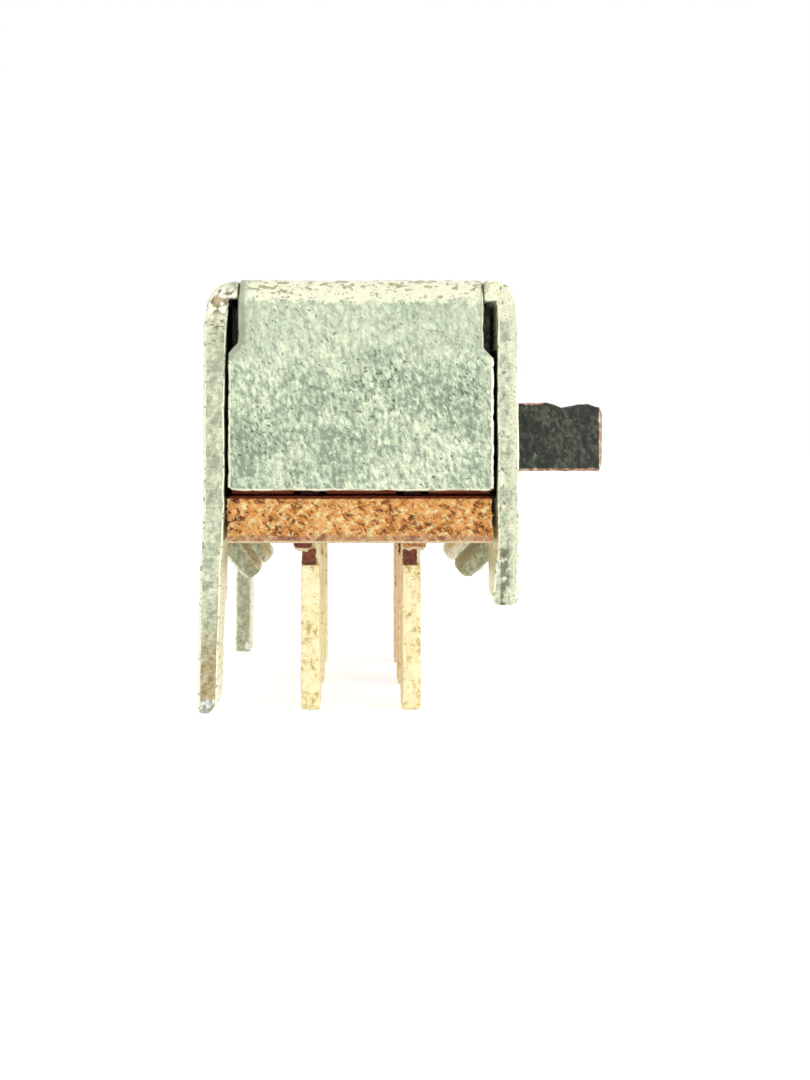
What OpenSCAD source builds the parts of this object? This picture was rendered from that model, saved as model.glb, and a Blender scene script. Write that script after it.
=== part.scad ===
// Two-pole, two-way slide switch for a circuit board, worked by a knob at the side.
// A folded tinned-steel cover is clinched under a laminate board that carries six
// flat terminals. Inside, a moulded slider carries two spring clips that bridge
// neighbouring terminals, and a sprung ball clicks into dimples in the roof.
//
// X runs across the switch towards the knob, Y along the slider's travel, Z up.
// The origin is the middle of the terminals' grid, at the circuit board's top face.

/* [Cover] */
// Width of the cover over its two side walls
cover_w = 7.5; // [7.4:0.1:8.2]
// Length of the cover over its two end flaps
cover_l = 7.8; // [7.7:0.1:8.6]
// Height of the roof's top face above the circuit board
roof_z = 7.8; // [7.7:0.1:8.6]
// Thickness of the folded sheet
sheet_t = 0.5; // [0.4:0.05:0.55]
// Outer radius of the long bends between the roof and the side walls
corner_r = 0.65; // [0.6:0.05:0.9]
// Outer radius of the bends between the roof and the end flaps
flap_bend_r = 0.6; // [0.56:0.02:0.7]
// Gap between an end flap's edges and the side walls
flap_gap = 0.08; // [0.05:0.01:0.15]
// Width of the relief notch at each upper corner of an end flap
notch_w = 0.32; // [0.25:0.01:0.45]
// Height of the relief notch below the roof's underside
notch_h = 1.15; // [0.8:0.05:1.6]
// Gap between an end flap's lower edge and the base board
flap_clear = 0.14; // [0.05:0.01:0.3]

/* [Legs and tabs] */
// Width of each plain foot under the knob's wall
foot_w = 1.7; // [1.2:0.1:1.8]
// Width of each prong's upper part, whose shoulder sits on the circuit board
shoulder_w = 1.25; // [1.1:0.05:1.6]
// Width of the prong that goes through the circuit board
prong_w = 0.9; // [0.7:0.05:1]
// Length of the prong below the circuit board's top face
prong_l = 2.6; // [1.8:0.1:3]
// Angle that each prong is set outwards, to grip the circuit board's slot
prong_splay = 1.8; // [0:0.1:3]
// Width of each clinching tab
tab_w = 1.2; // [0.9:0.05:1.3]
// Length of each clinching tab beyond its bend
tab_l = 1; // [0.8:0.05:1.2]
// Angle that each clinching tab is bent inwards from its wall
tab_bend = 50; // [35:1:55]
// Distance from the middle of the cover to the middle of a tab
tab_y = 1.3; // [1:0.05:1.5]

/* [Base board] */
// Thickness of the laminate board
board_t = 1.1; // [1:0.05:1.2]
// Height of the laminate board's underside above the circuit board
board_z = 1.5; // [1.3:0.05:1.7]
// Gap between the laminate board and the cover's side walls
board_gap = 0.05; // [0.03:0.01:0.1]
// Distance from each end of the laminate board to that end of the cover
board_inset = 0.1; // [0.05:0.01:0.2]
// Depth of the swaged lip under the board at each terminal
lip_h = 0.3; // [0.2:0.02:0.4]

/* [Terminals] */
// Distance between neighbouring terminals along the switch, and the slider's travel
pin_spacing = 2.5; // [2.4:0.05:2.6]
// Distance between the two rows of terminals
row_gap = 2.5; // [2.5:0.05:2.7]
// Thickness of the terminal strip
blade_t = 0.46; // [0.4:0.02:0.5]
// Width of a terminal's tail
blade_w = 1.1; // [0.9:0.05:1.2]
// Width of a terminal's waist below the board
waist_w = 0.7; // [0.5:0.05:0.8]
// Gap between the outer contact heads and the end flaps
head_gap = 0.15; // [0.1:0.01:0.25]
// Height of a contact head above the board
head_h = 1.5; // [1.3:0.05:1.6]
// Length of the terminals below the circuit board's top face
tail_l = 2.73; // [2.63:0.1:3.53]
// Height of a tail's shoulder above the circuit board
tail_shoulder_z = 0.89; // [0.7:0.05:1]

/* [Slider] */
// Height of the knob's middle above the circuit board
knob_z = 4.05; // [3.9:0.05:4.3]
// Height of the knob
knob_h = 1.74; // [1.4:0.02:2]
// Length of the knob along the travel
knob_l = 2; // [1.6:0.05:2.2]
// Reach of the knob beyond the cover's wall
knob_reach = 2.58; // [1.5:0.05:6]
// How far the knob's end is crowned
knob_crown = 0.23; // [0.1:0.01:0.3]
// Gap between the slider and the cover's walls and roof
glide = 0.1; // [0.06:0.01:0.15]
// Gap between the slider and an end flap when the slider is home
end_play = 0.05; // [0.03:0.01:0.1]

/* [Contacts and detent] */
// Thickness of the contact clips' spring strip
clip_t = 0.14; // [0.1:0.01:0.16]
// Gap between a clip's fingers and a contact head
clip_gap = 0.03; // [0.02:0.01:0.05]
// Radius of the detent ball
ball_r = 0.5; // [0.45:0.01:0.52]
// Height that the ball rises into a dimple
click_h = 0.15; // [0.1:0.01:0.16]
// Diameter of the detent spring's wire
wire_d = 0.12; // [0.08:0.01:0.14]

/* [Hidden] */
$fn = 48;

LEFT = -1;
RIGHT = 1;
SIDES = [LEFT, RIGHT];
PLACES = ["near", "mid", "far"];
OVER = 1; // how far a cutting shape runs past the face it opens

inner_w = cover_w - 2 * sheet_t;
inner_l = cover_l - 2 * sheet_t;
roof_in = roof_z - sheet_t;
wall_x = cover_w / 2;
end_y = cover_l / 2;
notch_floor = roof_in - notch_h;
neck_w = inner_w - 2 * notch_w;
board_top = board_z + board_t;

travel = pin_spacing;
slider_y = -travel / 2; // the slider rests at the near end of its travel
slider_l = inner_l - travel - 2 * end_play;
slider_w = inner_w - 2 * glide;
slider_low = board_top + glide / 2;
slider_top = roof_in - glide;
slot_l = knob_l + travel + 2 * glide;
slot_h = knob_h + 2 * glide;

head_w = inner_l - 2 * pin_spacing - 2 * head_gap;
head_top = board_top + head_h;
clip_l = pin_spacing + 0.6 * head_w; // the clip reaches past the middle of both its heads
clip_top = head_top + head_h / 2;
clip_half = blade_t / 2 + clip_gap; // half the gap between the fingers at their pinch
clip_wide = clip_half + 4 * clip_gap; // half the gap between the clip's cheeks
pocket_top = clip_top + glide;
bore_floor = pocket_top + 2 * glide; // the web between the pockets and the ball's bore
ball_z = roof_in - glide / 5 - ball_r; // the ball rests a hair below the roof
dimple_r = 1.2 * ball_r;
dimple_depth = 4 / 3 * click_h;
bump_r = dimple_r + 0.9 * sheet_t;

// A block w wide and l long, standing from z0 to z1 on the point (x, y)
module block(x, y, w, l, z0, z1) {
    translate([x - w / 2, y - l / 2, z0])
        cube([w, l, z1 - z0]);
}

// An outline w wide, from z0 up to z1, whose two upper corners have the radius r
module arch(w, z0, z1, r) {
    translate([-w / 2, z0])
        square([w, z1 - z0 - r]);
    translate([r - w / 2, z0])
        square([w - 2 * r, z1 - z0]);
    for (s = SIDES)
        translate([s * (w / 2 - r), z1 - r])
            circle(r);
}

// The section of a sheet folded over an opening, w over its outer faces
module folded_sheet(w, z0, r) {
    difference() {
        arch(w, z0, roof_z, r);
        arch(w - 2 * sheet_t, z0 - OVER, roof_in, r - sheet_t);
    }
}

// Stands its children's outline up in the X-Z plane, l thick and centred on y = 0
module along_y(l) {
    translate([0, l / 2, 0])
        rotate([90, 0, 0])
            linear_extrude(l)
                children();
}

// Stands its children's outline up in the Y-Z plane, w thick and centred on x = 0
module along_x(w) {
    translate([-w / 2, 0, 0])
        rotate([90, 0, 90])
            linear_extrude(w)
                children();
}

// The roof with both side walls, open at the ends where the flaps fold down
module channel() {
    difference() {
        along_y(cover_l)
            folded_sheet(cover_w, board_z, corner_r);
        for (s = SIDES)
            block(0, s * end_y, neck_w, 2 * flap_bend_r, roof_in - OVER, roof_z + OVER);
    }
}

// The strip of roof between the notches, folded down at each end to the notches' floors
module roof_strip() {
    along_x(neck_w)
        folded_sheet(cover_l, notch_floor, flap_bend_r);
}

// An end flap below the relief notches, nearly as wide as the opening between the walls
module end_flap() {
    half = inner_w / 2 - flap_gap;
    low = board_top + flap_clear;
    along_y(sheet_t)
        polygon([
            [-half, low], [half, low], [half, notch_floor - notch_w + flap_gap],
            [neck_w / 2, notch_floor], [-neck_w / 2, notch_floor],
            [-half, notch_floor - notch_w + flap_gap]
        ]);
}

// A leg of the left wall at its near end: a shouldered prong, set outwards and thinned at its tip
module prong() {
    point = sheet_t / 2; // height of the tip's slopes
    tip_t = 0.44 * sheet_t; // thickness of the tip's end
    thin_t = 0.76 * sheet_t; // thickness just above the tip
    lean = prong_l * tan(prong_splay); // how far the tip stands outwards of the wall
    thin_lean = lean * (1 - point / prong_l);
    half = prong_w / 2;
    block(-wall_x + sheet_t / 2, -end_y + shoulder_w / 2, sheet_t, shoulder_w, 0, board_z);
    intersection() {
        along_y(2 * cover_l)
            translate([-wall_x, 0])
                polygon([
                    [0, point], [0, 0], [-lean, -prong_l], [tip_t - lean, -prong_l],
                    [thin_t - thin_lean, point - prong_l], [sheet_t, 0], [sheet_t, point]
                ]);
        translate([0, -end_y + half, 0])
            along_x(2 * cover_w)
                polygon([
                    [-half, point], [-half, point - prong_l],
                    [point - half, -prong_l], [half - point, -prong_l],
                    [half, point - prong_l], [half, point]
                ]);
    }
}

// A plain foot of the right wall at its near end
module foot() {
    block(wall_x - sheet_t / 2, -end_y + foot_w / 2, sheet_t, foot_w, 0, board_z);
}

// A clinching tab of the right wall, bent inwards under the base board
module tab() {
    bend_in = sheet_t / 5; // inner radius of the bend
    root = 2 * bend_in; // how far the tab runs up into the wall
    lap = 1; // angle that the bend runs on into the straight part
    pivot_x = wall_x - sheet_t - bend_in;
    translate([pivot_x, tab_w / 2, board_z])
        rotate([90, 0, 0]) {
            translate([bend_in, 0, 0])
                cube([sheet_t, root, tab_w]);
            rotate([0, 0, -tab_bend - lap])
                rotate_extrude(angle = tab_bend + lap)
                    translate([bend_in, 0])
                        square([sheet_t, tab_w]);
            rotate([0, 0, -tab_bend])
                translate([bend_in, -tab_l, 0])
                    cube([sheet_t, tab_l, tab_w]);
        }
}

// Everything that the walls carry below the roof's channel
module legs_and_tabs() {
    for (s = SIDES)
        flip_ends(s) {
            prong();
            foot();
            for (side = SIDES)
                flip_sides(side)
                    translate([0, tab_y, 0])
                        tab();
        }
}

// Its children as they are, or mirrored end for end
module flip_ends(s) {
    mirror([0, s < 0 ? 1 : 0, 0])
        children();
}

// Its children as they are, or mirrored side for side
module flip_sides(s) {
    mirror([s < 0 ? 1 : 0, 0, 0])
        children();
}

// Where the ball clicks: one place for each end of the travel
module at_clicks() {
    for (s = SIDES)
        translate([0, s * travel / 2, 0])
            children();
}

module cover() {
    color("silver")
        difference() {
            union() {
                channel();
                roof_strip();
                for (s = SIDES)
                    translate([0, s * (end_y - sheet_t / 2), 0])
                        end_flap();
                legs_and_tabs();
                at_clicks()
                    intersection() {
                        translate([0, 0, roof_in + dimple_depth - dimple_r])
                            sphere(bump_r);
                        block(0, 0, 2 * bump_r, 2 * bump_r, roof_in, roof_z + OVER);
                    }
            }
            at_clicks()
                translate([0, 0, roof_in + dimple_depth - dimple_r])
                    sphere(dimple_r);
            block(wall_x, 0, 2 * sheet_t + OVER, slot_l, knob_z - slot_h / 2, knob_z + slot_h / 2);
        }
}

// Repeats its children at every terminal
module at_terminals() {
    for (side = SIDES)
        for (place = [-1:1])
            translate([side * row_gap / 2, place * pin_spacing, 0])
                children();
}

module base_board() {
    lip_w = 1.1 * blade_t;
    lip_l = blade_w + lip_h;
    lip_out = 0.4 * blade_t; // how far a lip stands outwards of its terminal
    color("peru")
        difference() {
            union() {
                block(0, 0, inner_w - 2 * board_gap, cover_l - 2 * board_inset, board_z, board_top);
                for (side = SIDES)
                    for (place = [-1:1])
                        block(side * (row_gap / 2 + lip_out), place * pin_spacing,
                              lip_w, lip_l, board_z - lip_h, board_z);
            }
            at_terminals() {
                block(0, 0, blade_t, blade_w, board_z, board_top + OVER);
                block(0, 0, blade_t, waist_w, board_z - lip_h - OVER, board_z + OVER / 2);
            }
        }
}

// A flat terminal: pointed tail, waist, shank through the board, and contact head
module terminal(side, place) {
    tip = 0.35 * blade_t; // the chamfers of the tail's point and of the head
    half_tail = blade_w / 2;
    half_waist = waist_w / 2;
    half_head = head_w / 2;
    right_edge = [
        [half_tail - tip, -tail_l], [half_tail, tip - tail_l], [half_tail, tail_shoulder_z],
        [half_waist, tail_shoulder_z], [half_waist, board_z], [half_tail, board_z],
        [half_tail, board_top], [half_head, board_top],
        [half_head, head_top - tip], [half_head - tip, head_top]
    ];
    count = len(right_edge);
    color("lightyellow")
        translate([side * row_gap / 2, place * pin_spacing, 0])
            along_x(blade_t)
                polygon([
                    for (p = right_edge) p,
                    for (i = [1:count]) [-right_edge[count - i][0], right_edge[count - i][1]]
                ]);
}

module slider() {
    channel_w = blade_t + 3 * glide;
    pocket_w = 2 * (clip_wide + clip_t + glide);
    crown_r = (pow(knob_l / 2, 2) + pow(knob_crown, 2)) / (2 * knob_crown);
    knob_end = wall_x + knob_reach;
    color("darkslategray")
        translate([0, slider_y, 0])
            difference() {
                union() {
                    block(0, 0, slider_w, slider_l, slider_low, slider_top);
                    intersection() {
                        block(knob_end / 2, 0, knob_end, knob_l,
                              knob_z - knob_h / 2, knob_z + knob_h / 2);
                        translate([knob_end - crown_r, 0, 0])
                            cylinder(r = crown_r, h = roof_z, $fn = 96);
                    }
                }
                for (side = SIDES) {
                    block(side * row_gap / 2, 0, channel_w, slider_l + OVER,
                          slider_low - OVER, head_top + 2 * glide);
                    block(side * row_gap / 2, 0, pocket_w, clip_l + glide,
                          slider_low - OVER, pocket_top);
                }
                translate([0, 0, bore_floor])
                    cylinder(r = ball_r + clip_gap, h = roof_z);
            }
}

// A contact clip: an inverted trough whose cheeks pinch the heads with split fingers
module contact_clip(side) {
    toe_z = board_top + head_h / 6;
    pinch_z = board_top + 0.57 * head_h;
    cheek_z = head_top - head_h / 15;
    toe_out = 0.7 * clip_t; // how far the toes spread, to lead a head in
    right_cheek = [
        [clip_wide + clip_t, clip_top], [clip_wide + clip_t, cheek_z],
        [clip_half + clip_t, pinch_z], [clip_half + toe_out + clip_t, toe_z],
        [clip_half + toe_out, toe_z], [clip_half, pinch_z],
        [clip_wide, cheek_z], [clip_wide, clip_top - clip_t]
    ];
    count = len(right_cheek);
    color("gold")
        translate([side * row_gap / 2, slider_y, 0])
            difference() {
                along_y(clip_l)
                    polygon([
                        for (p = right_cheek) p,
                        for (i = [1:count]) [-right_cheek[count - i][0], right_cheek[count - i][1]]
                    ]);
                block(0, 0, row_gap, clip_l - 2 * blade_w, toe_z - OVER, head_top);
            }
}

// The detent spring: a round wire wound on a helix whose end turns lie close
module detent_spring() {
    coil_r = ball_r - wire_d;
    low = bore_floor + wire_d / 2;
    high = ball_z - sqrt(pow(ball_r, 2) - pow(coil_r, 2)) - wire_d;
    turns = 5;
    close_rise = wire_d * 1.2;
    steps = 18; // rings of points in one turn
    sides = 8; // points in each ring
    rings = turns * steps;
    open_rise = (high - low - 2 * close_rise) / (turns - 2);
    function rise(t) =
        t < 1 ? close_rise * t
        : t < turns - 1 ? close_rise + open_rise * (t - 1)
        : high - low - close_rise * (turns - t);
    points = [
        for (i = [0:rings], j = [0:sides - 1])
            let (
                turn = 360 * i / steps,
                around = 360 * j / sides,
                r = coil_r + wire_d / 2 * cos(around)
            )
            [r * cos(turn), r * sin(turn), low + rise(i / steps) + wire_d / 2 * sin(around)]
    ];
    faces = [
        [for (j = [0:sides - 1]) j],
        for (i = [0:rings - 1], j = [0:sides - 1])
            let (k = (j + 1) % sides)
            [i * sides + j, (i + 1) * sides + j, (i + 1) * sides + k, i * sides + k],
        [for (j = [0:sides - 1]) rings * sides + sides - 1 - j]
    ];
    color("dimgray")
        translate([0, slider_y, 0])
            polyhedron(points, faces);
}

module detent_ball() {
    color("lightgray")
        translate([0, slider_y, ball_z])
            sphere(ball_r);
}

cover();
base_board();
for (i = [0:2]) {
    terminal(LEFT, i - 1);
    terminal(RIGHT, i - 1);
}
slider();
contact_clip(LEFT);  // contact_clip_left
contact_clip(RIGHT);  // contact_clip_right
detent_spring();
detent_ball();
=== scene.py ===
"""Looks of a small slide switch for a circuit board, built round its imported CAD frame.

Lengths in this file are in millimetres until a mesh is written, which is in metres.
X runs across the switch towards the knob, Y along the slider's travel, and Z up.
"""

import logging
import math
from collections.abc import Sequence
from dataclasses import dataclass
from enum import Enum

import bmesh
import bpy
import numpy as np
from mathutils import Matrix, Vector


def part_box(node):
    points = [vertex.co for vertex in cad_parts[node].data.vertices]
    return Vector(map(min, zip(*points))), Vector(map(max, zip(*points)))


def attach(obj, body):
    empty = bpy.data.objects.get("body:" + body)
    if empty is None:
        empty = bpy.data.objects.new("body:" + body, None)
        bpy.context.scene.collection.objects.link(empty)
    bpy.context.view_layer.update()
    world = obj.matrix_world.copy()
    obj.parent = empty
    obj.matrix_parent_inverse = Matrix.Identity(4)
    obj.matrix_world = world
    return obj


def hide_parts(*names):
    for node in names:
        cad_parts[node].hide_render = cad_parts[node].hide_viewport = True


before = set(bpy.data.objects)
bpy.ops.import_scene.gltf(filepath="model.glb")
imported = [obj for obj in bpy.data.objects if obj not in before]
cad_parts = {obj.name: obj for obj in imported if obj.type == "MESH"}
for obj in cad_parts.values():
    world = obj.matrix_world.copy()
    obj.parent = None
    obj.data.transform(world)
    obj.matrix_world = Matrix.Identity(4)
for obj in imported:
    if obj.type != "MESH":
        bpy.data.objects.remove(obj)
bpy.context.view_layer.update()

MM = 0.001
LOG = logging.getLogger("slide_switch")

TINY = 1e-6  # places closer than this are one place
SLACK = 0.01  # how far past an edge a test still counts a place as on it
WAVES = 20  # the sine waves in a ripple
RIM_STEPS = (0.0, 0.423, 0.732, 1.0)  # shares of a rounding's radius that split its arc evenly
EVEN = (1.0, 1.0, 1.0)
BLUNT = math.radians(28)  # edges that turn by less than this stay as they are

Array = np.ndarray
Colour = tuple[float, float, float]
Table = tuple[tuple[float, ...], tuple[float, ...]]
Socket = bpy.types.NodeSocket


class Body(Enum):
    """The CAD bodies that pieces ride on."""

    HOUSING = "housing"
    SLIDE = "slide"
    BALL = "ball"


class Slot(Enum):
    """The material slots' names."""

    TIN = "tinned_steel"
    LAMINATE = "phenolic_laminate"
    TERMINAL = "terminal_metal"
    MOULDING = "dark_moulding"
    CLIP = "clip_bronze"
    WIRE = "spring_wire"
    BALL = "bearing_steel"


def shade(red: float, green: float, blue: float) -> Colour:
    """Turns a colour as a screen shows it, each part up to 255, into the linear values that shaders take."""
    return tuple(((part / 255 + 0.055) / 1.055) ** 2.4 for part in (red, green, blue))


# ---------------------------------------------------------------- shapes worked out as arrays


def unit(ways: Array) -> Array:
    """Directions, along the last axis, scaled to a length of one."""
    return ways / np.linalg.norm(ways, axis=-1, keepdims=True)


@dataclass(frozen=True)
class Ripple:
    """A smooth random field over space, with a spread of about one.

    It is the sum of sine waves whose directions, lengths and phases are drawn from a seed.
    """

    size: float
    seed: int

    def at(self, points: Array) -> Array:
        """Gives the field's value at each point.

        Args:
            points: N by 3 places, in millimetres.

        Returns:
            N values, the sum over the waves of sin(direction . point + phase), scaled to a spread of one.
        """
        rng = np.random.default_rng(self.seed)
        ways = unit(rng.normal(size=(WAVES, 3)))
        ways *= 2 * math.pi / self.size * rng.uniform(0.6, 1.7, (WAVES, 1))
        phases = rng.uniform(0, 2 * math.pi, WAVES)
        return np.sin(points @ ways.T + phases).sum(1) / math.sqrt(WAVES / 2)


def drift(size: float, seed: int, points: Array, axes: int = 3) -> Array:
    """Random moves of points along the first axes, each from a ripple of its own."""
    return np.stack([Ripple(size, seed + i).at(points) for i in range(axes)], 1)


def fading(distance: Array, reach: float) -> Array:
    """1 at no distance, falling evenly to 0 at the reach."""
    return np.clip(1 - distance / reach, 0, 1)


@dataclass(frozen=True)
class Chips:
    """Small torn flakes strewn over a face, each a long raised dash with a soft rim."""

    count: int
    seed: int
    length: tuple[float, float]
    width: tuple[float, float]

    def at(self, places: Array, low: Array, high: Array) -> Array:
        """Gives the height of the strewn flakes over a flat face.

        Args:
            places: N by 2 places on the face.
            low: the face's lowest corner.
            high: the face's highest corner.

        Returns:
            N heights from -1 to 1. Each flake adds its own height times exp(-(u / length)^2 - (v / width)^2),
            where u and v run along and across it.
        """
        rng = np.random.default_rng(self.seed)
        middle = rng.uniform(low, high, (self.count, 2))
        turn = rng.normal(0, 0.9, self.count)
        long = rng.uniform(*self.length, self.count) / 2
        wide = rng.uniform(*self.width, self.count) / 2
        lift = rng.uniform(-0.7, 1.0, self.count)
        gap = places[:, None, :] - middle[None]
        along = (gap[..., 0] * np.cos(turn) + gap[..., 1] * np.sin(turn)) / long
        across = (gap[..., 1] * np.cos(turn) - gap[..., 0] * np.sin(turn)) / wide
        return np.clip((lift * np.exp(-(along**2) - across**2)).sum(1), -1, 1)


def steps(stops: Sequence[float], spacing: float) -> Array:
    """Fills the gaps between given stops with evenly spaced places, none further apart than the spacing."""
    places = sorted({round(float(stop), 6) for stop in stops})
    parts = [
        np.linspace(a, b, max(1, math.ceil((b - a) / spacing - TINY)), endpoint=False)
        for a, b in zip(places, places[1:])
    ]
    return np.concatenate([*parts, [places[-1]]])


def rims(edges: Sequence[float], r: float, ways: Sequence[int] = (-1, 1)) -> list[float]:
    """Places beside each edge that split a rounding of radius r into even steps."""
    return [edge + way * share * r for edge in edges for way in ways for share in RIM_STEPS]


def span(low: float, high: float, r: float, spacing: float, stops: Sequence[float] = ()) -> Array:
    """Planes from face to face of a block with rounded edges, and through other stops."""
    return steps([*rims([low], r, [1]), *rims([high], r, [-1]), *stops], spacing)


def ring_quads(number: Array) -> Array:
    """Faces, M by 4, between closed rings of points whose numbers stand in rows, one row for each ring."""
    nxt = np.roll(number, -1, -1)
    corners = [number[..., :-1, :], number[..., 1:, :], nxt[..., 1:, :], nxt[..., :-1, :]]
    return np.stack(corners, -1).reshape(-1, 4)


@dataclass(frozen=True)
class Lattice:
    """Boxes between planes across three axes, some of them solid."""

    xs: Array
    ys: Array
    zs: Array
    solid: Array

    def skin(self) -> tuple[Array, Array, Array, Array]:
        """Skins the solid boxes.

        A face is drawn between each solid box and an empty neighbour, with its corners in the order that
        turns it outwards. Faces share their corners, so the skin is closed.

        Returns:
            The points, N by 3; the faces, M by 4; the axis that each face looks along; and the numbers of the
            three planes that each point lies on.
        """
        shape = (len(self.xs), len(self.ys), len(self.zs))
        numbers = np.arange(math.prod(shape)).reshape(shape)
        padded = np.pad(self.solid, 1)
        quads, axes = [], []
        for axis in range(3):
            a, b = np.eye(3, dtype=int)[[(axis + 1) % 3, (axis + 2) % 3]]
            for way in (1, -1):
                beyond = np.roll(padded, -way, axis)[1:-1, 1:-1, 1:-1]
                cells = np.argwhere(self.solid & ~beyond)
                cells[:, axis] += way > 0
                corners = [cells, cells + a, cells + a + b, cells + b][::way]
                quads.append(np.stack([numbers[tuple(c.T)] for c in corners], 1))
                axes.append(np.full(len(cells), axis))
        used, faces = np.unique(np.concatenate(quads), return_inverse=True)
        index = np.stack(np.unravel_index(used, shape), 1)
        points = np.stack([self.xs[index[:, 0]], self.ys[index[:, 1]], self.zs[index[:, 2]]], 1)
        return points, faces.reshape(-1, 4), np.concatenate(axes), index


def box_skin(low: Array, high: Array, r: float, spacing: float) -> tuple[Array, Array]:
    """A block's points and faces, on planes that suit edges rounded by r."""
    planes = [span(a, b, r, spacing) for a, b in zip(low, high)]
    return Lattice(*planes, np.ones([len(line) - 1 for line in planes], bool)).skin()[:2]


def rim_pull(planes: Array, solid: Array, r: Array, axis: int) -> Array:
    """How far each point of a flat lattice must move inwards to be r away from the nearest cut along one axis.

    Args:
        planes: the lattice's planes along that axis.
        solid: which cells of the flat lattice are solid.
        r: the rounding's radius at each point.
        axis: 0 or 1.

    Returns:
        The move at each point, with its sign, and 0 further than r from a cut.
    """
    padded = np.moveaxis(np.pad(solid, 1), axis, 0).astype(int)
    starts = padded[1:] - padded[:-1]
    starts = np.where(np.abs(starts[:, 1:]) > np.abs(starts[:, :-1]), starts[:, 1:], starts[:, :-1])
    r = np.moveaxis(r, axis, 0)
    pull = np.zeros(starts.shape)
    for k in range(-6, 7):
        edge = np.roll(starts, -k, 0)
        depth = np.abs(np.roll(planes, -k) - planes)[:, None]
        here = edge * np.clip(r - depth, 0, None) * ((k == 0) | (edge * k < 0))
        pull = np.where(np.abs(here) > np.abs(pull), here, pull)
    return np.moveaxis(pull, 0, axis)


def rounded_by(pulls: Array) -> Array:
    """The move that takes a point of a square edge or corner onto its rounding.

    A pull p leads from the point to the middle of the rounding's arc. The point moves along it by
    p * (1 - largest part of p / length of p), which is nothing on a flat face.

    Args:
        pulls: N by D pulls.

    Returns:
        N by D moves.
    """
    length = np.linalg.norm(pulls, axis=1)
    return pulls * (1 - np.abs(pulls).max(1) / np.where(length > 0, length, 1))[:, None] * (length > 0)[:, None]


def soften_box(points: Array, low: Array, high: Array, r: float) -> Array:
    """Rounds the twelve edges of a box that the points lie on or in, with the radius r."""
    return points + rounded_by(np.clip(points, low + r, high - r) - points)


def resample_loop(corners: Array, spacing: float, r: float) -> Array:
    """Walks round a closed outline with its corners rounded, at an even spacing.

    Each corner is replaced by the quadratic curve from r before it to r after it, which bends towards it.

    Args:
        corners: N by 2 corners in order.
        spacing: the distance between the points.
        r: how far from each corner its rounding starts.

    Returns:
        The outline's points, M by 2, in the same order.
    """
    before, after = np.roll(corners, 1, 0) - corners, np.roll(corners, -1, 0) - corners
    reach_b = np.minimum(r / np.linalg.norm(before, axis=1), 0.45)[:, None]
    reach_a = np.minimum(r / np.linalg.norm(after, axis=1), 0.45)[:, None]
    t = np.linspace(0, 1, 5)[None, :, None]
    start, end = (corners + before * reach_b)[:, None], (corners + after * reach_a)[:, None]
    curve = (1 - t) ** 2 * start + 2 * t * (1 - t) * corners[:, None] + t**2 * end
    loop = curve.reshape(-1, 2)
    closed = np.vstack([loop, loop[:1]])
    walked = np.concatenate([[0], np.cumsum(np.linalg.norm(np.diff(closed, axis=0), axis=1))])
    stops = steps(list(walked), spacing)[:-1]
    return np.stack([np.interp(stops, walked, closed[:, i]) for i in range(2)], 1)


@dataclass
class Skin:
    """A mesh in the making: points in millimetres, and faces as lists of their numbers."""

    points: Array
    faces: list[list[int]]

    def joined(self, other: "Skin") -> "Skin":
        """This skin and another as one mesh."""
        start = len(self.points)
        return Skin(
            np.vstack([self.points, other.points]),
            self.faces + [[i + start for i in f] for f in other.faces],
        )


def stamped_blank(outline: Array, thick: float, roll: float, layers: int = 4) -> Skin:
    """A flat blank cut from strip, with both rims of its cut edge softened.

    The cut edge is a grid: round the outline one way, and through the thickness the other. At depth d its
    ring lies inside the outline by roll * (1 - sqrt(1 - (1 - d / roll)^2)) near each face, a quarter circle,
    and on the outline between. One many-sided face closes each end.

    Args:
        outline: N by 2 points round the blank, anticlockwise.
        thick: the strip's thickness, measured towards the third axis from minus half to plus half.
        roll: the radius of the rims.
        layers: the number of rings across the straight part.

    Returns:
        The closed skin, in the outline's two axes and the thickness.
    """
    ahead, behind = np.roll(outline, -1, 0) - outline, outline - np.roll(outline, 1, 0)
    along = unit(unit(ahead) + unit(behind))
    out = np.stack([along[:, 1], -along[:, 0]], 1)
    turn = np.linspace(0, math.pi / 2, 4)
    depth = np.concatenate([
        roll * (1 - np.cos(turn)),
        np.linspace(roll, thick - roll, layers + 2)[1:-1],
        thick - roll * (1 - np.cos(turn[::-1])),
    ])
    inside = np.concatenate([roll * (1 - np.sin(turn)), np.zeros(layers), roll * (1 - np.sin(turn[::-1]))])
    rings = outline[None] - out[None] * inside[:, None, None]
    heights = np.broadcast_to((depth - thick / 2)[:, None, None], (*rings.shape[:2], 1))
    points = np.concatenate([rings, heights], 2).reshape(-1, 3)
    rows, n = len(depth), len(outline)
    number = np.arange(rows * n).reshape(rows, n)
    quads = ring_quads(number)[:, [0, 3, 2, 1]]
    return Skin(points, [*quads.tolist(), number[0][::-1].tolist(), number[-1].tolist()])


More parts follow.
